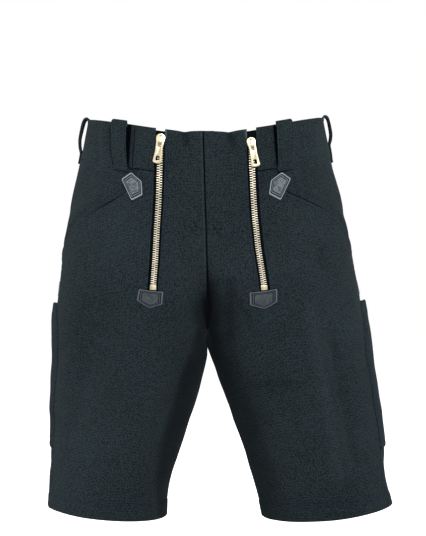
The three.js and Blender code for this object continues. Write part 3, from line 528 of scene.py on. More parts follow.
for leg in SIDES:
    grid = np.empty((len(ROUNDS), len(DEPTHS), 3))
    widths = np.empty((2, len(DEPTHS)))
    for j, at in enumerate(DEPTHS):
        grid[:MIDDLE + 1, j], widths[0, j] = section(leg, "front", at, 1 - ROUNDS[:MIDDLE + 1])
        grid[MIDDLE:, j], widths[1, j] = section(leg, "back", at, ROUNDS[MIDDLE:] - 1)
    grid = keep_aside(grid, leg, ROUNDS, DEPTHS)
    across, down = np.gradient(grid, axis=0), np.gradient(grid, axis=1)
    joined = DEPTHS > FORK + 2
    across[0, joined] = across[-1, joined] = (grid[1, joined] - grid[-2, joined]) / 2
    outward = np.cross(across, down) * -leg
    outward /= np.maximum(np.linalg.norm(outward, axis=2, keepdims=True), 1e-9)
    x, y, z = grid[..., 0], grid[..., 1], grid[..., 2]
    middle = np.where(ROUNDS[:, None] <= 1, middle_line("front", DEPTHS), middle_line("back", DEPTHS))
    free = np.where(DEPTHS < 200, 1.0, soft(leg * (x - middle), 0.5, 16))
    # The two halves fall away to each other in a valley that deepens down to the fork.
    valley = soft(DEPTHS, 150, 275) * (1 - soft(DEPTHS, FORK - 5, FORK + 60)) * (ROUNDS[:, None] < 0.9)
    grid[..., 1] += VALLEY * valley * np.exp(-((x - middle_line("front", DEPTHS)) / VALLEY)**2)
    creased = (soft(-y, 20, 60) * fold_height(x, z, FOLDS["front"])
               + soft(y, 20, 60) * fold_height(x, z, FOLDS["back"])
               + soft(np.abs(outward[..., 0]), 0.8, 0.97) * soft(leg * x, 120, 150)
               * fold_height(y, z, FOLDS["side"]))
    height = creased + waviness(grid)
    # The ridge of a fold gets a painted highlight and its trough painted shade, and the inner legs get
    # painted shade.
    shade = np.where(creased < 0, 0.07, 0.05) * creased + painted_inner_shade(leg, widths)
    SHADE[leg] = np.where(shade < 0, DARKEST * np.tanh(shade / DARKEST), shade)[..., None]
    CHART[leg] = keep_aside(grid + outward * (free * height)[..., None], leg, ROUNDS, DEPTHS)
    OUTWARD[leg], WIDTH[leg] = outward, widths
    print(SIDES[leg], "half: waist", round(widths[:, 4].sum()), "hem", round(widths[:, -5].sum()), "mm")


# %% Read places off the chart
def round_of(leg, around, at):
    """Round from a distance along the cloth in millimetres, counted from the centre front."""
    front, back = (np.interp(at, DEPTHS, WIDTH[leg][k]) for k in (0, 1))
    return np.where(around <= front, around / front, 1 + (around - front) / back)


def around_of(leg, rounds, at):
    front, back = (np.interp(at, DEPTHS, WIDTH[leg][k]) for k in (0, 1))
    return np.where(rounds <= 1, rounds * front, front + (rounds - 1) * back)


def read(chart, leg, rounds, at):
    r = np.clip(rounds, 0, 2) / (ROUNDS[1] - ROUNDS[0])
    a = (np.clip(at, DEPTHS[0], DEPTHS[-1]) - DEPTHS[0]) / (DEPTHS[1] - DEPTHS[0])
    i = np.clip(r.astype(int), 0, len(ROUNDS) - 2)
    j = np.clip(a.astype(int), 0, len(DEPTHS) - 2)
    u, v = (r - i)[..., None], (a - j)[..., None]
    grid = chart[leg]
    return ((1 - u) * (1 - v) * grid[i, j] + u * (1 - v) * grid[i + 1, j]
            + (1 - u) * v * grid[i, j + 1] + u * v * grid[i + 1, j + 1])


def on_cloth(leg, around, at, lift=0.0):
    """Points in millimetres, lifted off the cloth; past the centre back on the other half."""
    around, at, lift = np.broadcast_arrays(*(np.asarray(v, float) for v in (around, at, lift)))
    rounds = round_of(leg, around, at)
    over = rounds > 2
    mirrored = np.where(over, 4 - rounds, rounds)
    base = np.where(over[..., None], read(CHART, -leg, mirrored, at), read(CHART, leg, rounds, at))
    out = np.where(over[..., None], read(OUTWARD, -leg, mirrored, at), read(OUTWARD, leg, rounds, at))
    return base + out * lift[..., None]


# %% [markdown]
# ## From a grid to a piece of cloth
# A piece is a grid of places: how far round, how deep and how far off the form. Rows and columns
# crowd together near the edges, where the cloth rolls over and a row of stitches pulls it in, and lie
# four millimetres apart elsewhere. Solidify gives it its thickness: toward the inside, but for loops
# and pockets, which stand off the cloth, toward the outside.
# %% Spacing and edges
NEAR_EDGE = np.array([0, 0.5, 1.1, 1.8, 2.6, 3.6])
CLOTH_THICK = 1.9


def spaced(length, pitch=4.0):
    """Distances along each length, close together at both ends."""
    length = np.atleast_1d(np.asarray(length, float))
    count = max(int(round((length.max() - 2 * NEAR_EDGE[-1]) / pitch)), 1)
    middle = np.linspace(0, 1, count + 1)[1:-1, None]
    near = np.minimum(NEAR_EDGE[:, None], length[None, :] * NEAR_EDGE[:, None] / 9)
    return np.vstack([near, near[-1] + (length - 2 * near[-1]) * middle, length - near[::-1]])


def edge_relief(distance, stitches=(), sink=0.9):
    """Height of the cloth by its distance from an edge: rolled over, plump, and drawn in by stitches."""
    height = -sink * np.clip(1 - distance / 1.6, 0, 1)**2
    height = height + 0.3 * np.exp(-((distance - 2.2) / 1.6)**2)
    for row in stitches:
        height = height - 0.32 * np.exp(-((distance - row) / 0.9)**2)
        height = height + 0.22 * np.exp(-((distance - row - 3.0) / 1.8)**2)
    return height


# A soft band along a line, used for wear and for painted light and shade.
def worn_and_lit(distance, width=1.5):
    return np.exp(-(distance / width)**2)


# %% Make the mesh
def put(obj, body, material, replaces=()):
    """Gives a piece its material and the body that it rides on."""
    obj.data.materials.clear()
    obj.data.materials.append(material)
    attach(obj, body)
    if replaces:
        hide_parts(*replaces)


def mesh_object(name, points, faces, smooth=True):
    mesh = bpy.data.meshes.new(name)
    mesh.from_pydata([tuple(p) for p in np.asarray(points) * MM], [], [tuple(f) for f in faces])
    mesh.update()
    obj = bpy.data.objects.new(name, mesh)
    bpy.context.collection.objects.link(obj)
    if smooth:
        mesh.shade_smooth()
    return obj


def use_modifier(obj, kind, **settings):
    bpy.ops.object.select_all(action="DESELECT")
    bpy.context.view_layer.objects.active = obj
    obj.select_set(True)
    made = obj.modifiers.new(kind.lower(), kind)
    for key, value in settings.items():
        setattr(made, key, value)
    bpy.ops.object.modifier_apply(modifier=made.name)


def meet(points, leg, at, half):
    """Pulls the edge of a panel onto the line where it is sewn to the other half's panel."""
    column = 0 if half == "front" else -1
    middle = middle_line(half, at)
    sewn = at <= FORK
    points[..., 0] = np.where(sewn, middle + leg * np.maximum(leg * (points[..., 0] - middle), 0),
                              points[..., 0])
    points[column, :, 0] = np.where(sewn[column], middle[column], points[column, :, 0])


def cut_piece(name, leg, around, at, lift, kept=None, rub=None, thick=CLOTH_THICK, outside=False,
              material=MOLESKIN, replaces=(), flat=None,
              allowance=10, meets=None):
    """A piece of cloth from a grid of places, as a thin shell."""
    columns, rows = around.shape
    points = on_cloth(leg, around, at, lift)
    if meets:
        meet(points, leg, at, meets)
    points = points.reshape(-1, 3)
    number = np.arange(columns * rows).reshape(columns, rows)
    a, b = number[:-1, :-1], number[1:, :-1]
    c, d = number[1:, 1:], number[:-1, 1:]
    order = (a, b, c, d) if leg == RIGHT else (a, d, c, b)
    faces = np.stack(order, axis=-1)
    faces = faces[kept] if kept is not None else faces.reshape(-1, 4)
    used, faces = np.unique(faces, return_inverse=True)
    faces = faces.reshape(-1, 4)
    obj = mesh_object(name, points[used], faces)
    cut = np.stack([around, at], axis=-1).reshape(-1, 2)[used] * MM
    layer = obj.data.uv_layers.new(name="cut")
    layer.data.foreach_set("uv", cut[faces.ravel()].ravel())
    use_modifier(obj, "SOLIDIFY", thickness=thick * MM, offset=1 if outside else -1,
                 use_even_offset=False, use_rim=True)
    if rub is not None:
        # The chart's painted shade and highlight of folds and inner legs join the piece's own.
        rub = rub + read(SHADE, leg, np.minimum(round_of(leg, around, at), 2), at)[..., 0]
        # Solidify adds the second face's points after the first's: only the outer face gets the wear and
        # painted light.
        wear_and_light_values, plain = rub.ravel()[used], np.zeros(len(used))
        both = (plain, wear_and_light_values) if outside else (wear_and_light_values, plain)
        layer = obj.data.attributes.new("rub", "FLOAT", "POINT")
        layer.data.foreach_set("value", np.concatenate(both))
    bpy.ops.object.shade_smooth_by_angle(angle=math.radians(50))
    put(obj, "shorts", material, replaces)
    # It was cut with a seam allowance on every edge.
    flat = flat or tuple(float(np.ptp(v) + 2 * allowance) * MM for v in (around, at))


# %% [markdown]
# ## Sewing
# A stitch is modelled once, as a short swollen thread, and laid along each seam line by copying its
# points. Each row sinks a little into the cloth, so it reads as sewn and not as glued on.
# %% One stitch
bpy.ops.mesh.primitive_uv_sphere_add(segments=5, ring_count=4, radius=1, location=(0, 0, 0),
                                     rotation=(0, math.radians(90), 0))
stitch = bpy.context.object
bpy.ops.object.transform_apply(location=True, rotation=True, scale=True)
STITCH = np.array([v.co[:] for v in stitch.data.vertices])
STITCH_FACES = [tuple(p.vertices) for p in stitch.data.polygons]
bpy.data.objects.remove(stitch)
ROWS = {}


def between(where, run, points):
    return np.column_stack([np.interp(where, run, points[:, k]) for k in range(3)])


def along_line(points, pitch, look=0.4):
    """Evenly spaced places on a line, and the way that it runs there."""
    run = np.concatenate([[0], np.cumsum(np.linalg.norm(np.diff(points, axis=0), axis=1))])
    count = max(int(run[-1] / pitch), 1)
    where = (np.arange(count) + 0.5) * run[-1] / count
    ahead = between(np.clip(where + look, 0, run[-1]), run, points)
    behind = between(np.clip(where - look, 0, run[-1]), run, points)
    return between(where, run, points), ahead - behind, where, run


def sew(group, leg, around, at, lift=0.0, pitch=3.7, length=2.7, thick=0.8):
    """Lays a row of stitches through places of the cloth, into a named group of rows."""
    around, at, lift = np.broadcast_arrays(*(np.asarray(v, float) for v in (around, at, lift)))
    fine = np.linspace(0, len(at) - 1, 8 * len(at))
    around, at, lift = (np.interp(fine, np.arange(len(v)), v) for v in (around, at, lift))
    line = on_cloth(leg, around, at, lift)
    out = on_cloth(leg, around, at, lift + 1) - line
    centre, direction, where, run = along_line(line, pitch)
    direction /= np.linalg.norm(direction, axis=1, keepdims=True)
    up = between(where, run, out)
    side = np.cross(up, direction)
    side /= np.linalg.norm(side, axis=1, keepdims=True)
    up = np.cross(direction, side)
    shape = STITCH * [length / 2, thick / 2, thick / 2.6]
    placed = (centre[:, None] + shape[None, :, :1] * direction[:, None]
              + shape[None, :, 1:2] * side[:, None] + shape[None, :, 2:] * up[:, None])
    ROWS.setdefault(group, []).append(placed.reshape(-1, 3))


def make_rows():
    """Turns every group of stitches into one piece."""
    for group, parts in ROWS.items():
        points = np.vstack(parts)
        count = len(points) // len(STITCH)
        faces = [tuple(v + k * len(STITCH) for v in f) for k in range(count) for f in STITCH_FACES]
        put(mesh_object(group, points, faces), "shorts", THREAD)
        print(group, count, "stitches")


# %% [markdown]
# ## Front panels
# The front of each leg is cut in one with its half of the fall front. It is slit for the zip, it
# stops under the waistband outside the slit, and its top outer corner is cut on a slant to make the
# pocket mouth, where it lies over the hip piece.
# %% Lines of the front
SLIT_IN, SLIT_OUT, MOUTH_FOOT = 6.7, 7.9, 236
# Distances of the rows of stitches from the edge or the seam that they follow
SLIT_ROW, SIDE_ROW = 3.6, 2.2
CENTRE_ROWS = (2.2, 8.2)
MOUTH_ROWS = {RIGHT: (1.9,), LEFT: (1.9, 7.0)}
MOUTH_START = 0.42  # share of the front's width where the slanted mouth begins
ZIP_LINE = {
    RIGHT: table("at around", [(0, 58.5), (54, 61.5), (100, 64), (142, 67.5), (187, 71), (240, 77)]),
    LEFT: table("at around", [(0, 67), (55, 66.8), (117, 67.8), (142, 69.5), (172, 72), (240, 82)]),
}
BAND_SEAM = {RIGHT: 0.43, LEFT: 0.45}
MOUTH = {
    RIGHT: table("share depth", [(0.385, 61), (0.4, 84), (0.427, 92), (0.47, 101), (0.511, 109),
                                 (0.58, 120.5), (0.648, 132), (0.79, 156), (0.845, 171), (1, 200)]),
    LEFT: table("share depth", [(0.385, 61), (0.404, 84), (0.464, 97), (0.54, 108), (0.615, 118.5),
                                (0.732, 135.5), (0.827, 153), (0.92, 173), (1, 190)]),
}


def drawn_in(at):
    """The slits are narrower at the waist, where the slider fills them."""
    return 0.88 + 0.12 * soft(at, 10, 44)


def zip_line(leg, at, off=0.0):
    return follow(ZIP_LINE[leg], "around", at) + off * drawn_in(at)


def front_width(leg, at):
    return np.interp(at, DEPTHS, WIDTH[leg][0])


def half_width(leg, at):
    """From the centre front round to the centre back."""
    return front_width(leg, at) + np.interp(at, DEPTHS, WIDTH[leg][1])


def side_seam(leg, at):
    """Distance of the side seam from the centre front, along the cloth."""
    return np.interp(at, SIDE_ROUND["at"], SIDE_ROUND["round"]) * front_width(leg, at)


def mouth_depth(leg, around, at):
    return np.interp(around / front_width(leg, at), MOUTH[leg]["share"], MOUTH[leg]["depth"])


def seam_gather(along, distance, reach=7.0, wave=8.5, height=0.2):
    """Small puckers that a row of stitches leaves along an edge."""
    ripple = np.sin(along * 2 * np.pi / wave + 1.7 * np.sin(along / 23.0))
    return height * ripple * np.exp(-((distance - 3) / reach)**2)


# %% Rows of the grid, hems and the centre front
LEVELS = np.concatenate([
    NEAR_EDGE, np.arange(8, BAND - 3, 4.0), [BAND], BAND + NEAR_EDGE[1:],
    np.arange(BAND + 8, SLIT_END - 2, 4.0), [SLIT_END], np.arange(SLIT_END + 4, HEM - 25, 4.0),
    [HEM - 22.5, HEM - 21, HEM - 20, HEM - 19, HEM - 17.5, HEM - 14, HEM - 10, HEM - 7],
    HEM - NEAR_EDGE[::-1]])
HEM_STITCH = 20.0


def hem_relief(at, along):
    """The turned hem: thicker below its row of stitches, with slanting pulls."""
    from_edge = HEM - at
    thicker = 0.55 * (1 - soft(from_edge, HEM_STITCH - 2, HEM_STITCH + 1))
    drawn = -0.45 * np.exp(-((from_edge - HEM_STITCH) / 1.3)**2)
    pull = np.sin((along + 0.5 * from_edge) * 2 * np.pi / 13 + 1.3 * np.sin(along / 31.0))
    return thicker + drawn + 0.25 * pull * np.exp(-((from_edge - 14) / 9)**2)


def centre_relief(leg, around):
    """The right half laps over the left: a raised edge beside a sunk one."""
    if leg == RIGHT:
        return 0.7 * np.exp(-((around - 2.0) / 2.4)**2) - 0.6 * np.clip(1 - around / 0.9, 0, 1)**2
    return -1.5 * np.exp(-(around / 1.5)**2)


def centre_painted_light(leg, around, at):
    """Painted highlight on the edge that stands up, painted shadow in the seam beside it, and painted shade
    spreading from the seam toward the fork.
    """
    above = 1 - soft(at, FORK - 8, FORK + 4)
    deep = soft(at, 180, 290)
    dark = -1.2 * worn_and_lit(around, (1.3 if leg == LEFT else 0.6) + 0.8 * deep)
    shaded = -0.55 * deep * worn_and_lit(around, 7)
    return above * (dark + shaded + 0.5 * (1 - deep) * worn_and_lit(around - 2.4, 0.9) * (leg == RIGHT))


# %% Grid of a front panel
def front_grid(leg):
    """The flap inside the zip, the slit and the thigh outside it, and the faces that are kept."""
    inner, outer = zip_line(leg, LEVELS, -SLIT_IN), zip_line(leg, LEVELS, SLIT_OUT)
    end = side_seam(leg, LEVELS)
    flap = spaced(inner)
    slit = inner + (outer - inner) * np.linspace(0, 1, 5)[1:-1, None]
    thigh = outer + spaced(end - outer)
    around = np.vstack([flap, slit, thigh])
    at = np.tile(LEVELS, (len(around), 1))
    first_out = len(flap) + len(slit)
    outboard = (np.arange(len(around)) >= first_out)[:, None]
    # Columns keep their share of the front as their rows slide down to the pocket mouth.
    share = (around - outer) / (end - outer)
    top = np.maximum(mouth_depth(leg, around, at), BAND)
    moves = outboard & (at >= BAND) & (at < MOUTH_FOOT)
    at = np.where(moves, top + (MOUTH_FOOT - top) * (at - BAND) / (MOUTH_FOOT - BAND), at)
    edge = zip_line(leg, at, SLIT_OUT)
    around = np.where(moves, edge + share * (side_seam(leg, at) - edge), around)
    column, level = np.arange(len(around) - 1)[:, None], LEVELS[None, :-1]
    in_slit = (column >= len(flap) - 1) & (column < first_out) & (level < SLIT_END)
    under_band = (column >= first_out) & (level < BAND)
    return around, at, outboard, top, ~in_slit & ~under_band


# %% Cut the front panels
def front_panel(leg):
    side = SIDES[leg]
    around, at, outboard, top, kept = front_grid(leg)
    to_side = side_seam(leg, at) - around
    lift = edge_relief(to_side, (), 0.7) + seam_gather(at, to_side, height=0.12)
    lift += 0.5 * np.exp(-(to_side / 7)**2)
    lift += centre_relief(leg, around) * (1 - soft(at, FORK - 25, FORK + 5))
    # Painted shadow in the side seam and a painted highlight on the ridge beside it, with the centre seam's
    # painted light and shade.
    rub = centre_painted_light(leg, around, at) - 0.9 * worn_and_lit(to_side, 0.9) + 0.25 * worn_and_lit(to_side - 2.2, 1.0)
    from_zip = around - zip_line(leg, at)
    to_slit = np.maximum(-SLIT_IN * drawn_in(at) - from_zip, from_zip - SLIT_OUT * drawn_in(at))
    beside = at < SLIT_END + 4
    lift += np.where(beside, edge_relief(np.maximum(to_slit, 0), (SLIT_ROW,), 1.0), 0)
    lift += np.where(beside, seam_gather(at, to_slit, 5, 7.3, 0.22), 0)
    at_waist = 1 - soft(at, 8, 18)
    # The slit's edges are made paler, most at the waist: wear and painted highlight.
    rub += np.where(beside, worn_and_lit(to_slit - 0.3, 1.0 + 0.8 * at_waist), 0) * (0.1 + 2.2 * at_waist)
    # Across the slanted mouth the way to the edge is shorter than straight up.
    slanted = outboard & (around > MOUTH_START * front_width(leg, at))
    to_top = np.where(outboard, at - top, at) * np.where(slanted, 0.86, 1.0)
    lift += np.where(at < MOUTH_FOOT, edge_relief(np.maximum(to_top, 0), MOUTH_ROWS[leg], 0.9), 0)
    lift += 0.5 * np.exp(-((to_top - 3) / 4)**2) * slanted
    # A painted shadow along the mouth's edge and a painted highlight on the roll below it.
    rub += (0.35 * worn_and_lit(to_top - 2.2, 0.9) - 0.85 * worn_and_lit(to_top, 1.0)) * outboard
    # The flap's top edge and the hem's fold are made paler: wear and painted highlight.
    rub += 0.25 * worn_and_lit(at, 1.3) * ~outboard
    lift += hem_relief(at, around) + np.where(at > HEM - 5, edge_relief(HEM - at, (), 0.9), 0)
    rub += 0.3 * worn_and_lit(HEM - at, 1.4)
    cut_piece(f"front_{side}", leg, around, at, lift, kept, rub, meets="front",
              replaces=[f"front_panel_{side}"])


for leg in SIDES:
    front_panel(leg)

# %% [markdown]
# ## Back panels, hip pieces and waistband
# The back of each leg is one panel from the waistband to the hem. The hip piece fills the corner above
# the slanted mouth and runs on under the front panel. The waistband goes round to the centre back,
# with a short end piece between each zip and the upright seam beside the front loop.
# %% Back panels
TUCK = 2.4  # how far the back panel goes in under the front one at the side seam


def back_panel(leg):
    side = SIDES[leg]
    levels = LEVELS[LEVELS >= BAND]
    start = side_seam(leg, levels) - TUCK * soft(levels, SLIT_END - 30, SLIT_END)
    around = start + spaced(half_width(leg, levels) - start)
    at = np.tile(levels, (len(around), 1))
    to_side = around - side_seam(leg, at)
    to_centre = half_width(leg, at) - around
    lift = edge_relief(np.maximum(to_side, 0), (SIDE_ROW,), 0.7) + seam_gather(at, to_side, height=0.14)
    lift -= 1.6 * (1 - soft(to_side, -TUCK, 0.4)) * soft(at, SLIT_END - 30, SLIT_END)
    above = 1 - soft(at, FORK - 20, FORK)
    lift += edge_relief(to_centre, CENTRE_ROWS if leg == LEFT else (), 0.8) * above
    lift += edge_relief(at - BAND, (), 0.6) + np.where(at > HEM - 5, edge_relief(HEM - at, (), 0.9), 0)
    lift += hem_relief(at, around)
    # Painted shadow in the side, band and centre seams; the ridge beside the side seam and the hem's fold
    # are made paler, wear and painted highlight.
    rub = (0.25 * worn_and_lit(to_side - 2.2, 1.0) - 0.9 * worn_and_lit(to_side, 0.9) - 0.9 * worn_and_lit(at - BAND, 1.0)
           - 1.2 * worn_and_lit(to_centre, 1.0) * above + 0.4 * worn_and_lit(HEM - at, 1.6))
    cut_piece(f"back_{side}", leg, around, at, lift, None, rub, meets="back",
              replaces=[f"back_panel_{side}"])


for leg in SIDES:
    back_panel(leg)

# %% Waistband and its ends
LOOP_HALF, LOOP_THICK = 11.0, 2.2
LOOP_FOOT = 66.5
# Leg, round at the top and at the foot, stand, and the depth where the loop closes on the band
LOOPS = {
    "front_right": (RIGHT, 0.53, 0.489, 0.95, 58), "front_left": (LEFT, 0.49, 0.465, 0.95, 58),
    "side_right": (RIGHT, 1.01, 1.01, 1, 50), "side_left": (LEFT, 1.01, 1.01, 1, 40),
    "back": (RIGHT, 2.0, 2.0, 1, 58)}


def band_piece(name, leg, start, end, node, in_seam=True):
    """A piece of the band between two lines. It starts at a seam with painted shadow, or else at a slit."""
    levels = spaced(BAND)[:, 0]
    first, last = start(levels), end(levels)
    around = first + spaced(last - first)
    at = np.tile(levels, (len(around), 1))
    to_ends = np.minimum(around - first, last - around)
    # Over the hips the band's lower seam is pressed flat, and hardly shows.
    plain = soft(around, 92, 100) * (1 - soft(around, 190, 230))
    lift = edge_relief(to_ends, (), 0.8) + edge_relief(BAND - at, (), 0.7) * (1 - 0.85 * plain)
    lift += edge_relief(at, (), 1.1) + seam_gather(around, BAND - at, 6, 9.0, 0.14)
    # The top edge is made paler, wear and painted highlight; the seams get painted shadow.
    rub = 0.3 * worn_and_lit(at, 1.5) - 0.8 * worn_and_lit(around - first, 0.9) * in_seam
    rub -= 1.0 * worn_and_lit(BAND - at, 1.0) * (1 - plain)
    # Painted shadow on the band where a loop covers it.
    for side, upper, lower, _, closes in LOOPS.values():
        centre = around_of(leg, upper + (lower - upper) * at / LOOP_FOOT, at)
        reach = LOOP_HALF + 1 + 3.5 * (1 - np.clip(at / closes, 0, 1))
        covered = 1 - soft(np.abs(around - centre), reach, reach + 1.5)
        rub -= 1.1 * covered * (side == leg) * (1 - soft(at, closes, closes + 5))
    cut_piece(name, leg, around, at, lift, None, rub, replaces=[node])


for leg, side in SIDES.items():
    slit = lambda at: zip_line(leg, at, SLIT_OUT)
    seam = lambda at: (BAND_SEAM[leg] - 0.015 * at / BAND) * front_width(leg, at)
    centre_back = lambda at: half_width(leg, at)
    band_piece(f"waistband_{side}", leg, seam, centre_back, f"waistband_{side}")
    band_piece(f"band_end_{side}", leg, slit, seam, f"waistband_end_{side}", in_seam=False)

# %% Hip pieces
RUNS_UNDER = 24  # how far a hip piece goes on below the edge of the mouth


def hip_piece(leg):
    side = SIDES[leg]
    columns = np.concatenate([[0.34, 0.36], np.arange(0.37, 0.99, 0.011), [0.99, 0.994, 0.998, 1.0]])
    steps = np.concatenate([[0, 0.004, 0.01, 0.02, 0.035], np.linspace(0.05, 1, 44)])
    mouth = np.maximum(np.interp(columns, MOUTH[leg]["share"], MOUTH[leg]["depth"]), BAND)[:, None]
    at = BAND + (mouth + RUNS_UNDER - BAND) * steps
    around = columns[:, None] * front_width(leg, at)
    clear = soft(mouth - at, 6, 17) * soft(columns, MOUTH_START, MOUTH_START + 0.06)[:, None]
    lift = -2.7 * (1 - clear) + 0.15 * edge_relief(at - BAND, (), 0.5)
    lift += edge_relief(front_width(leg, at) - around, (), 0.7) * clear
    # Painted shadow on the hip piece just under the mouth's edge.
    rub = -0.8 * worn_and_lit(np.maximum(mouth - at, 0), 1.6)
    cut_piece(f"hip_{side}", leg, around, at, lift, None, rub,
              replaces=[f"pocket_facing_{side}"])


for leg in SIDES:
    hip_piece(leg)

# %% [markdown]
# ## Turned hems
# The leg openings show the inside of the hem: the cloth is turned up by two centimetres and sewn.
# It is a second layer inside the leg, with a rolled edge of its own.
# %% Hems
TURNED_THICK, TURNED_LIFT = 1.3, -2.05

for leg, side in SIDES.items():
    for half in ("front", "back"):
        levels = HEM - 0.4 - spaced(HEM_STITCH + 1.5, 3.0)[::-1, 0]
        seam = side_seam(leg, levels)
        first, last = (0 * seam, seam) if half == "front" else (seam, half_width(leg, levels))
        around = first + SEAM / 2 + spaced(last - first - SEAM, 5.0)
        at = np.tile(levels, (len(around), 1))
        rolled = 0.3 * np.exp(-((at - levels[0]) / 1.2)**2)
        lift = TURNED_LIFT + rolled + 0.5 * hem_relief(at, around)
        cut_piece(f"hem_{half}_{side}", leg, around, at, lift, thick=TURNED_THICK, allowance=2)

# %% [markdown]
# ## Belt loops
# A loop is a folded strip of moleskin, sewn over the edge of the waist at its top and under the
# waistband at its foot. It stands off between them, so it is drawn as a path of depth and height off
# the cloth, the same one for all five loops with its own stand for each.
# %% Loop path and loops
LOOP_LIFT, LOOP_ROW = 0.6, 2.6  # height of a loop's ends off the cloth, and its rows' inset


def loop_path(closes):
    """Depth and height of a loop, from its end inside the waist to its foot."""
    path = table("depth lift", [
        (4, LOOP_LIFT), (1, 0.8), (-1.2, 2.0), (-1.4, 4.0), (1, 5.8), (6, 6.8), (0.35 * closes, 7.2),
        (0.62 * closes, 6.9), (0.84 * closes, 4.6), (closes, 1.4), (closes + 4, 0.7),
        (LOOP_FOOT, LOOP_LIFT)])
    path["at"] = np.arange(len(path["depth"]), dtype=float)
    return path


def belt_loop(name, leg, upper, lower, stand, closes):
    path = loop_path(closes)
    step = np.linspace(0, path["at"][-1], 67)
    depth, height = follow(path, "depth", step), follow(path, "lift", step)
    height = LOOP_LIFT + (np.maximum(height, LOOP_LIFT) - LOOP_LIFT) * stand
    middle = upper + (lower - upper) * depth / LOOP_FOOT
    across = spaced(2 * LOOP_HALF, 2.6)[:, 0] - LOOP_HALF
    at = np.tile(depth, (len(across), 1))
    around = around_of(leg, np.tile(middle, (len(across), 1)), at) + across[:, None]
    to_edge = LOOP_HALF - np.abs(across)[:, None]
    lift = height + edge_relief(to_edge, (LOOP_ROW,), 0.7)
    lift += -0.4 * np.exp(-((at - LOOP_FOOT + 3.5) / 1.2)**2) * (height < 3)
    # The loop's edges, foot and top fold are made paler: wear and painted highlight.
    rub = 0.6 * worn_and_lit(to_edge - 0.4, 1.1) + 0.4 * worn_and_lit(np.abs(at - LOOP_FOOT) + 0 * to_edge, 1.2)
    rub += 0.35 * np.exp(-((step - 3) / 1.3)**2)
    cut_piece(f"loop_{name}", leg, around, at, lift, None, rub, thick=LOOP_THICK, outside=True,
              replaces=[f"belt_loop_{name}"], flat=(0.0235, 0.094))
    shown = slice(4, 65)  # the path's steps outside the waist and short of the foot
    centre = around_of(leg, middle[shown], depth[shown])
    for edge in (-1, 1):
        sew("sewing_loops", leg, centre + edge * (LOOP_HALF - LOOP_ROW), depth[shown],
            height[shown] + LOOP_THICK - 0.15, pitch=3.4, length=2.4, thick=0.7)
    row = np.linspace(-LOOP_HALF + LOOP_ROW, LOOP_HALF - LOOP_ROW, 6)
    for foot in (LOOP_FOOT - 4.5, LOOP_FOOT - 2):
        sew("sewing_loops", leg, around_of(leg, lower, foot) + row, foot, LOOP_LIFT + LOOP_THICK,
            pitch=2.6, length=2.0, thick=0.7)


for name, place in LOOPS.items():
    belt_loop(name, *place)

# %% [markdown]
# ## Ruler pockets
# Each thigh has an open-topped patch pocket behind the side seam. Its mouth gapes a little, so its top
# edge shows beside the leg from the front. The top is turned in and sewn, and two rows hold the rest.
# %% Ruler pockets
POCKET = {"top": 268, "end": 472, "round": 1.2, "lift": 0.6, "stand": 9}
POCKET_DEEP = POCKET["end"] - POCKET["top"]
POCKET_ROWS, MOUTH_HEM = (2.2, 8.0), 14.0  # insets of the rows round it, and of the one below its top


def pocket_stand(w, v):
    belly = np.sin(np.pi * np.clip(w, 0, 1)) * np.maximum(1 - soft(v, 0, 1), 0)**0.8
    return POCKET["lift"] + POCKET["stand"] * belly


def pocket_width(leg, at):
    return around_of(leg, np.full(np.shape(at), POCKET["round"]), at) - side_seam(leg, at)


def ruler_pocket(leg):
    side = SIDES[leg]
    levels = POCKET["top"] + spaced(POCKET_DEEP)[:, 0]
    first = side_seam(leg, levels) + SEAM / 2
    width = pocket_width(leg, levels) - SEAM / 2
    around = first + spaced(width)
    at = np.tile(levels, (len(around), 1))
    to_side, to_back = around - first, first + width - around
    to_foot, to_mouth = POCKET["end"] - at, at - POCKET["top"]
    near = np.minimum(np.minimum(to_side, to_back), to_foot)
    lift = pocket_stand(to_side / width, to_mouth / POCKET_DEEP)
    lift += edge_relief(near, POCKET_ROWS, 0.8) + edge_relief(to_mouth, (MOUTH_HEM,), 0.5)
    lift += seam_gather(at + around, near, 6, 8.0, 0.16) * (to_mouth > 4)
    # Painted shadow along the sewn edges, and a paler ridge and mouth edge: wear and painted highlight.
    rub = 0.3 * worn_and_lit(near - 2.6, 1.0) - 1.2 * worn_and_lit(near, 1.8) + 0.5 * worn_and_lit(to_mouth - 0.5, 1.3)
    cut_piece(f"ruler_pocket_{side}", leg, around, at, lift, None, rub, outside=True,
              replaces=[f"ruler_pocket_{side}"])


def sew_pocket(leg):
    """Rows down both sides and along the foot, and one below the mouth."""
    rows = f"sewing_pocket_{SIDES[leg]}"
    for inset in POCKET_ROWS:
        depth = np.linspace(POCKET["top"] + 2, POCKET["end"] - inset, 60)
        wide = pocket_width(leg, depth)
        stand = pocket_stand(inset / wide, (depth - POCKET["top"]) / POCKET_DEEP)
        for reach in (inset, wide - inset):
            sew(rows, leg, side_seam(leg, depth) + reach, depth, stand + 1.8)
        foot = POCKET["end"] - inset
        across = np.linspace(inset, pocket_width(leg, foot) - inset, 40)
        sew(rows, leg, side_seam(leg, foot) + across, foot, POCKET["lift"] + 1.8)
    depth = POCKET["top"] + MOUTH_HEM
    wide = pocket_width(leg, depth)
    across = np.linspace(2, wide - 2, 40)
    stand = pocket_stand(across / wide, MOUTH_HEM / POCKET_DEEP)
    sew(rows, leg, side_seam(leg, depth) + across, depth, stand + 1.75)


for leg in SIDES:
    ruler_pocket(leg)
    sew_pocket(leg)

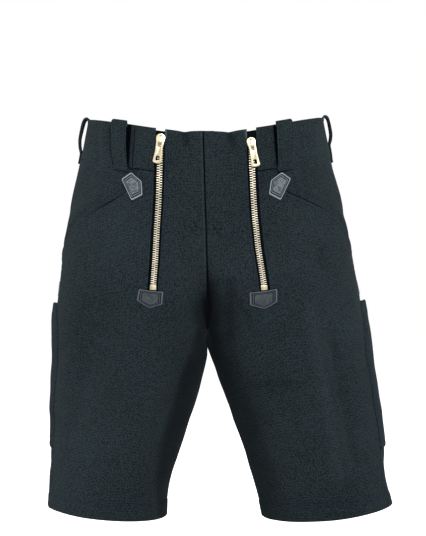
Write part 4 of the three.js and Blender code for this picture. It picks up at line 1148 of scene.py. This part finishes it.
# %% [markdown]
# ## Leather patches
# The patches cover the ends of the zips and the corners of the pocket mouths, where hands and tools
# pull, and those are pentagons. The small ones behind the side seams have four sides. All have blunt
# corners, and each is built in rings from the rim inward: the rim is rounded, a stitched groove runs
# inside it and a pressed line inside that.
# %% Patch rings
PATCH_THICK, PATCH_CROWN = 1.6, 0.42
PATCH_ROW = 2.15  # from the rim to the middle of the stitched groove
PATCH_PROFILE = table("inset height groove rub", [
    (0.0, -1.6, 0.0, 0.7), (0.0, -0.8, 0.0, 1.0), (0.15, -0.3, 0.0, 1.0), (0.5, -0.05, 0.0, 1.0),
    (1.0, 0.05, 0.0, 1.0), (1.35, 0.0, 0.15, 0.7), (1.55, -0.3, 1.0, 0.0), (2.65, -0.3, 1.0, 0.0),
    (2.9, 0.0, 0.15, 0.5), (3.35, 0.05, 0.0, 0.7), (3.65, -0.2, 1.0, 0.0), (4.55, -0.2, 1.0, 0.0),
    (4.8, 0.15, 0.0, 0.5), (5.6, 0.35, 0.0, 0.4), (6.6, 0.4, 0.0, 0.35)])


def blunt(corners, cut=1.8):
    """Each corner of a polygon becomes a short arc, and its sides get points between."""
    corners = np.array(corners, float)
    line = []
    for k in range(len(corners)):
        before, corner, after = corners[k - 1], corners[k], corners[(k + 1) % len(corners)]
        one = corner + (before - corner) * cut / np.linalg.norm(before - corner)
        two = corner + (after - corner) * cut / np.linalg.norm(after - corner)
        for t in np.linspace(0, 1, 5):
            line.append((1 - t)**2 * one + 2 * t * (1 - t) * corner + t**2 * two)
        nxt = after + (corner - after) * cut / np.linalg.norm(corner - after)
        line.extend(two + (nxt - two) * t for t in np.linspace(0, 1, 8)[1:-1])
    return np.array(line)


def leather_patch(name, leg, corners, material, lift=SEAM):
    rim = blunt(corners)
    middle = rim.mean(axis=0)
    nearest = np.linalg.norm(rim - middle, axis=1).min()
    rings = [middle + (rim - middle) * (1 - inset / nearest) for inset in PATCH_PROFILE["inset"]]
    count = len(rim)
    # The last two points are the middle of the top and the middle of the underside.
    spots = np.vstack(rings + [middle, middle])
    height = np.append(np.repeat(PATCH_PROFILE["height"], count), PATCH_CROWN) + lift + PATCH_THICK
    height = np.append(height, lift)
    height[:count] = lift
    points = on_cloth(leg, spots[:, 0], spots[:, 1], height)
    faces, top = [], len(rings) * count
    for k in range(len(rings) - 1):
        for i in range(count):
            j = (i + 1) % count
            faces.append((k * count + i, k * count + j, (k + 1) * count + j, (k + 1) * count + i))
    for i in range(count):
        j = (i + 1) % count
        faces.append(((len(rings) - 1) * count + i, (len(rings) - 1) * count + j, top))
        faces.append((j, i, top + 1))
    if leg == RIGHT:
        faces = [f[::-1] for f in faces]
    obj = mesh_object(name, points, faces)
    for key, ends in (("groove", [0.0, 0.0]), ("rub", [0.35, 0.0])):
        layer = obj.data.attributes.new(key, "FLOAT", "POINT")
        layer.data.foreach_set("value", np.append(np.repeat(PATCH_PROFILE[key], count), ends))
    put(obj, "shorts", material, [name])
    loop = middle + (np.vstack([rim, rim[:1]]) - middle) * (1 - PATCH_ROW / nearest)
    sew("sewing_patches", leg, loop[:, 0], loop[:, 1], lift + PATCH_THICK - 0.25, pitch=2.5, length=1.7,
        thick=0.7)


POCKET_CORNERS = {
    RIGHT: [(102.4, 67.5), (87.3, 77.5), (86.3, 96.3), (102, 106), (117.3, 79)],
    LEFT: [(108, 68.4), (92.1, 76.7), (88.7, 95), (104.9, 105.7), (121.5, 79.1)],
}
ZIP_CORNERS = {
    RIGHT: [(95.3, 231.6), (62, 237.2), (66.2, 257.1), (84.8, 261.6), (100.1, 249)],
    LEFT: [(98, 231.1), (60.7, 238.7), (64, 259), (85.4, 262.7), (100.2, 251.5)],
}
for leg, side in SIDES.items():
    leather_patch(f"pocket_patch_{side}", leg, POCKET_CORNERS[leg], PALE_LEATHER, 0.9)
    leather_patch(f"zip_end_patch_{side}", leg, ZIP_CORNERS[leg], DARK_LEATHER, 0.7)
    corners = [(float(side_seam(leg, at)) + reach, at)
               for reach, at in ((38, 236), (2, 236), (2, 258), (38, 258))]
    leather_patch(f"side_patch_{side}", leg, corners, PALE_LEATHER, SEAM)

# %% [markdown]
# ## Zips
# Each zip is a black tape behind the slit with a chain of brass teeth and an end stop. A tooth is
# modelled once: a block whose head narrows toward the other side. Teeth of the two sides stand half a
# pitch apart, so their heads lock in the middle.
# %% One tooth
PITCH, TOOTH_LONG, TOOTH_TALL, TOOTH_DEEP = 3.4, 4.8, 1.2, 1.9
HEAD = 0.9  # how far a tooth's head reaches over the middle
bpy.ops.object.select_all(action="DESELECT")
bpy.ops.mesh.primitive_cube_add(size=1, location=(TOOTH_LONG / 2 - HEAD, 0, 0))
tooth = bpy.context.object
bpy.ops.transform.resize(value=(TOOTH_LONG, TOOTH_TALL, TOOTH_DEEP))
bpy.ops.object.transform_apply(location=True, rotation=True, scale=True)
bpy.ops.object.mode_set(mode="EDIT")
bpy.ops.mesh.select_all(action="SELECT")
bpy.ops.mesh.bisect(plane_co=(1.2, 0, 0), plane_no=(1, 0, 0))
bpy.ops.mesh.select_all(action="DESELECT")
bpy.ops.object.mode_set(mode="OBJECT")
for vertex in tooth.data.vertices:
    vertex.select = vertex.co.x < -0.5
for edge in tooth.data.edges:
    edge.select = all(tooth.data.vertices[v].select for v in edge.vertices)
for face in tooth.data.polygons:
    face.select = all(tooth.data.vertices[v].select for v in face.vertices)
bpy.ops.object.mode_set(mode="EDIT")
bpy.ops.transform.resize(value=(1, 0.62, 0.72), center_override=(-HEAD, 0, 0))
bpy.ops.mesh.select_all(action="SELECT")
bpy.ops.mesh.bevel(offset=0.28, segments=2, affect="EDGES")
bpy.ops.object.mode_set(mode="OBJECT")
TOOTH = np.array([v.co[:] for v in tooth.data.vertices])
TOOTH_FACES = [tuple(p.vertices) for p in tooth.data.polygons]
bpy.data.objects.remove(tooth)
print("one tooth:", len(TOOTH_FACES), "faces")


# %% Chain, end stop and tape
SLIDER_DEPTH = {RIGHT: 16.4, LEFT: 21.6}
CHAIN_END = 225
CHAIN_LIFT, STOP_LIFT, TAPE_LIFT = -0.85, -0.9, -2.45
TAPE_TOP, TAPE_FOOT, TAPE_THICK = 3, 240, 0.7
TAPE_ACROSS = np.array([-13, -11, -9, -7, -5.5, -4.8, -4.0, -2, -0.6, -0.2, 0.2, 0.6, 2, 4.0, 4.8, 5.5,
                        7, 9, 11, 13.0])


def zip_frame(leg, at, lift):
    """Place, across, up and outward directions on the zip's line."""
    centre = on_cloth(leg, zip_line(leg, at), at, lift)
    above = on_cloth(leg, zip_line(leg, at - 2), at - 2, lift)
    below = on_cloth(leg, zip_line(leg, at + 2), at + 2, lift)
    out = on_cloth(leg, zip_line(leg, at), at, lift + 1) - centre
    up = (above - below) / np.linalg.norm(above - below)
    out = out - up * out.dot(up)
    out /= np.linalg.norm(out)
    return centre, np.cross(up, out), up, out


def zip_teeth(leg):
    points, faces = [], []
    top = SLIDER_DEPTH[leg] - 4
    count = int((CHAIN_END - top) / PITCH)
    for k in range(2 * count):
        at = CHAIN_END - k * PITCH / 2
        flip = 1 if k % 2 else -1
        centre, across, up, out = zip_frame(leg, at, CHAIN_LIFT)
        shape = TOOTH * [flip, 1, 1]
        points.append(centre + shape[:, :1] * across + shape[:, 1:2] * up + shape[:, 2:] * out)
        start = k * len(TOOTH)
        faces.extend(tuple(v + start for v in f[::flip]) for f in TOOTH_FACES)
    obj = mesh_object(f"teeth_{SIDES[leg]}", np.vstack(points), faces, smooth=False)
    put(obj, "shorts", TOOTH_BRASS_PAINTED_HIGHLIGHT, [f"zip_teeth_{SIDES[leg]}"])


def end_stop(leg):
    bpy.ops.object.select_all(action="DESELECT")
    bpy.ops.mesh.primitive_cube_add(size=1)
    stop = bpy.context.object
    stop.name = f"zip_stop_{SIDES[leg]}"
    bpy.ops.transform.resize(value=(8.8, 6.6, 2.2))
    bpy.ops.object.transform_apply(location=True, rotation=True, scale=True)
    use_modifier(stop, "BEVEL", width=0.6, segments=3)
    centre, across, up, out = zip_frame(leg, CHAIN_END + 4.4, STOP_LIFT)
    for vertex in stop.data.vertices:
        x, y, z = vertex.co
        vertex.co = Vector((centre + x * across + y * up + z * out) * MM)
    stop.data.shade_smooth()
    put(stop, "shorts", BRASS)


def zip_tape(leg):
    side = SIDES[leg]
    levels = np.linspace(TAPE_TOP, TAPE_FOOT, 96)
    across = TAPE_ACROSS[:, None]
    around = zip_line(leg, levels) + across
    at = np.tile(levels, (len(across), 1))
    # A bead holds the feet of the teeth on each side, and the two halves meet in a groove.
    bead = 0.55 * np.exp(-((np.abs(across) - 4.9) / 0.7)**2) - 0.2 * np.exp(-(across / 0.5)**2)
    cut_piece(f"tape_{side}", leg, around, at, TAPE_LIFT + bead, thick=TAPE_THICK, material=TAPE,
              allowance=2, replaces=[f"zip_tape_{side}"])


for leg in SIDES:
    zip_teeth(leg)
    end_stop(leg)
    zip_tape(leg)

# %% [markdown]
# ## Sliders and pull tabs
# The CAD already has the true form of the slider, with its bridge, and of the tab, which swings on
# it. Here each is copied, its loose triangles are merged into whole faces, and its edges are rounded
# as tumbled brass is. The tab rides on its own body, so it can be lifted.
# %% Round off the CAD's hard parts
def rounded_copy(node, name, width, body):
    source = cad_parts[node]
    made = source.copy()
    made.data = source.data.copy()
    made.name = name
    made.parent = None
    bpy.context.collection.objects.link(made)
    bpy.ops.object.select_all(action="DESELECT")
    bpy.context.view_layer.objects.active = made
    made.select_set(True)
    made.matrix_world = Matrix()
    bpy.ops.object.mode_set(mode="EDIT")
    bpy.ops.mesh.select_all(action="SELECT")
    bpy.ops.mesh.remove_doubles(threshold=0.00001)
    bpy.ops.mesh.dissolve_limited(angle_limit=math.radians(4))
    bpy.ops.object.mode_set(mode="OBJECT")
    use_modifier(made, "BEVEL", width=width * MM, segments=3, limit_method="ANGLE",
                 angle_limit=math.radians(35), use_clamp_overlap=True)
    bpy.ops.object.shade_smooth_by_angle(angle=math.radians(40))
    put(made, body, BRASS, [node])
    print(name, len(made.data.polygons), "faces")


for leg, side in SIDES.items():
    rounded_copy(f"zip_slider_{side}", f"slider_{side}", 0.45, "shorts")
    rounded_copy(f"zip_pull_{side}", f"pull_{side}", 0.4, f"pull_{side}")

# %% [markdown]
# ## Rows of stitches
# The rows follow the photograph: one beside each edge of the slits, one or two along the slanted
# mouths, one round each hem, and plain rows on the hidden seams. The centre front is sewn from inside.
# %% Sew the seams
for leg, side in SIDES.items():
    depth = np.linspace(5, SLIT_END - 2, 120)
    for reach in (-SLIT_IN - SLIT_ROW, SLIT_OUT + SLIT_ROW):
        sew(f"sewing_zip_{side}", leg, zip_line(leg, depth, reach), depth, -0.05)
    shares = np.linspace(0.43, 0.985, 90)
    mouth = np.interp(shares, MOUTH[leg]["share"], MOUTH[leg]["depth"])
    for down in MOUTH_ROWS[leg]:
        where = mouth + down * 1.16 + SEAM / 2
        sew(f"sewing_mouth_{side}", leg, shares * front_width(leg, where), where, 0.1)
    depth = HEM - HEM_STITCH
    ring = np.linspace(2, half_width(leg, depth) - 2, 200)
    sew(f"sewing_hem_{side}", leg, ring, depth, -0.1, pitch=4.0, length=3.0)
    depth = np.linspace(BAND + 6, HEM - 24, 150)
    sew(f"sewing_side_{side}", leg, side_seam(leg, depth) + SIDE_ROW, depth, 0.05)
    depth = np.linspace(4, BAND - 3, 20)
    sew(f"sewing_side_{side}", leg, BAND_SEAM[leg] * front_width(leg, depth) + 1.8, depth, 0.1)
    depth = BAND + 2
    mouth = MOUTH[leg]["share"][0] * front_width(leg, depth)
    row = np.linspace(zip_line(leg, depth, SLIT_OUT) + 3, mouth, 12)
    sew(f"sewing_side_{side}", leg, row, depth + 0.4, 0.1)
# The two rows beside the centre back end well above the fork.
depth = np.linspace(BAND + 4, 236, 110)
for inset in CENTRE_ROWS:
    sew("sewing_centre", LEFT, half_width(LEFT, depth) - inset, depth, 0.0)
make_rows()
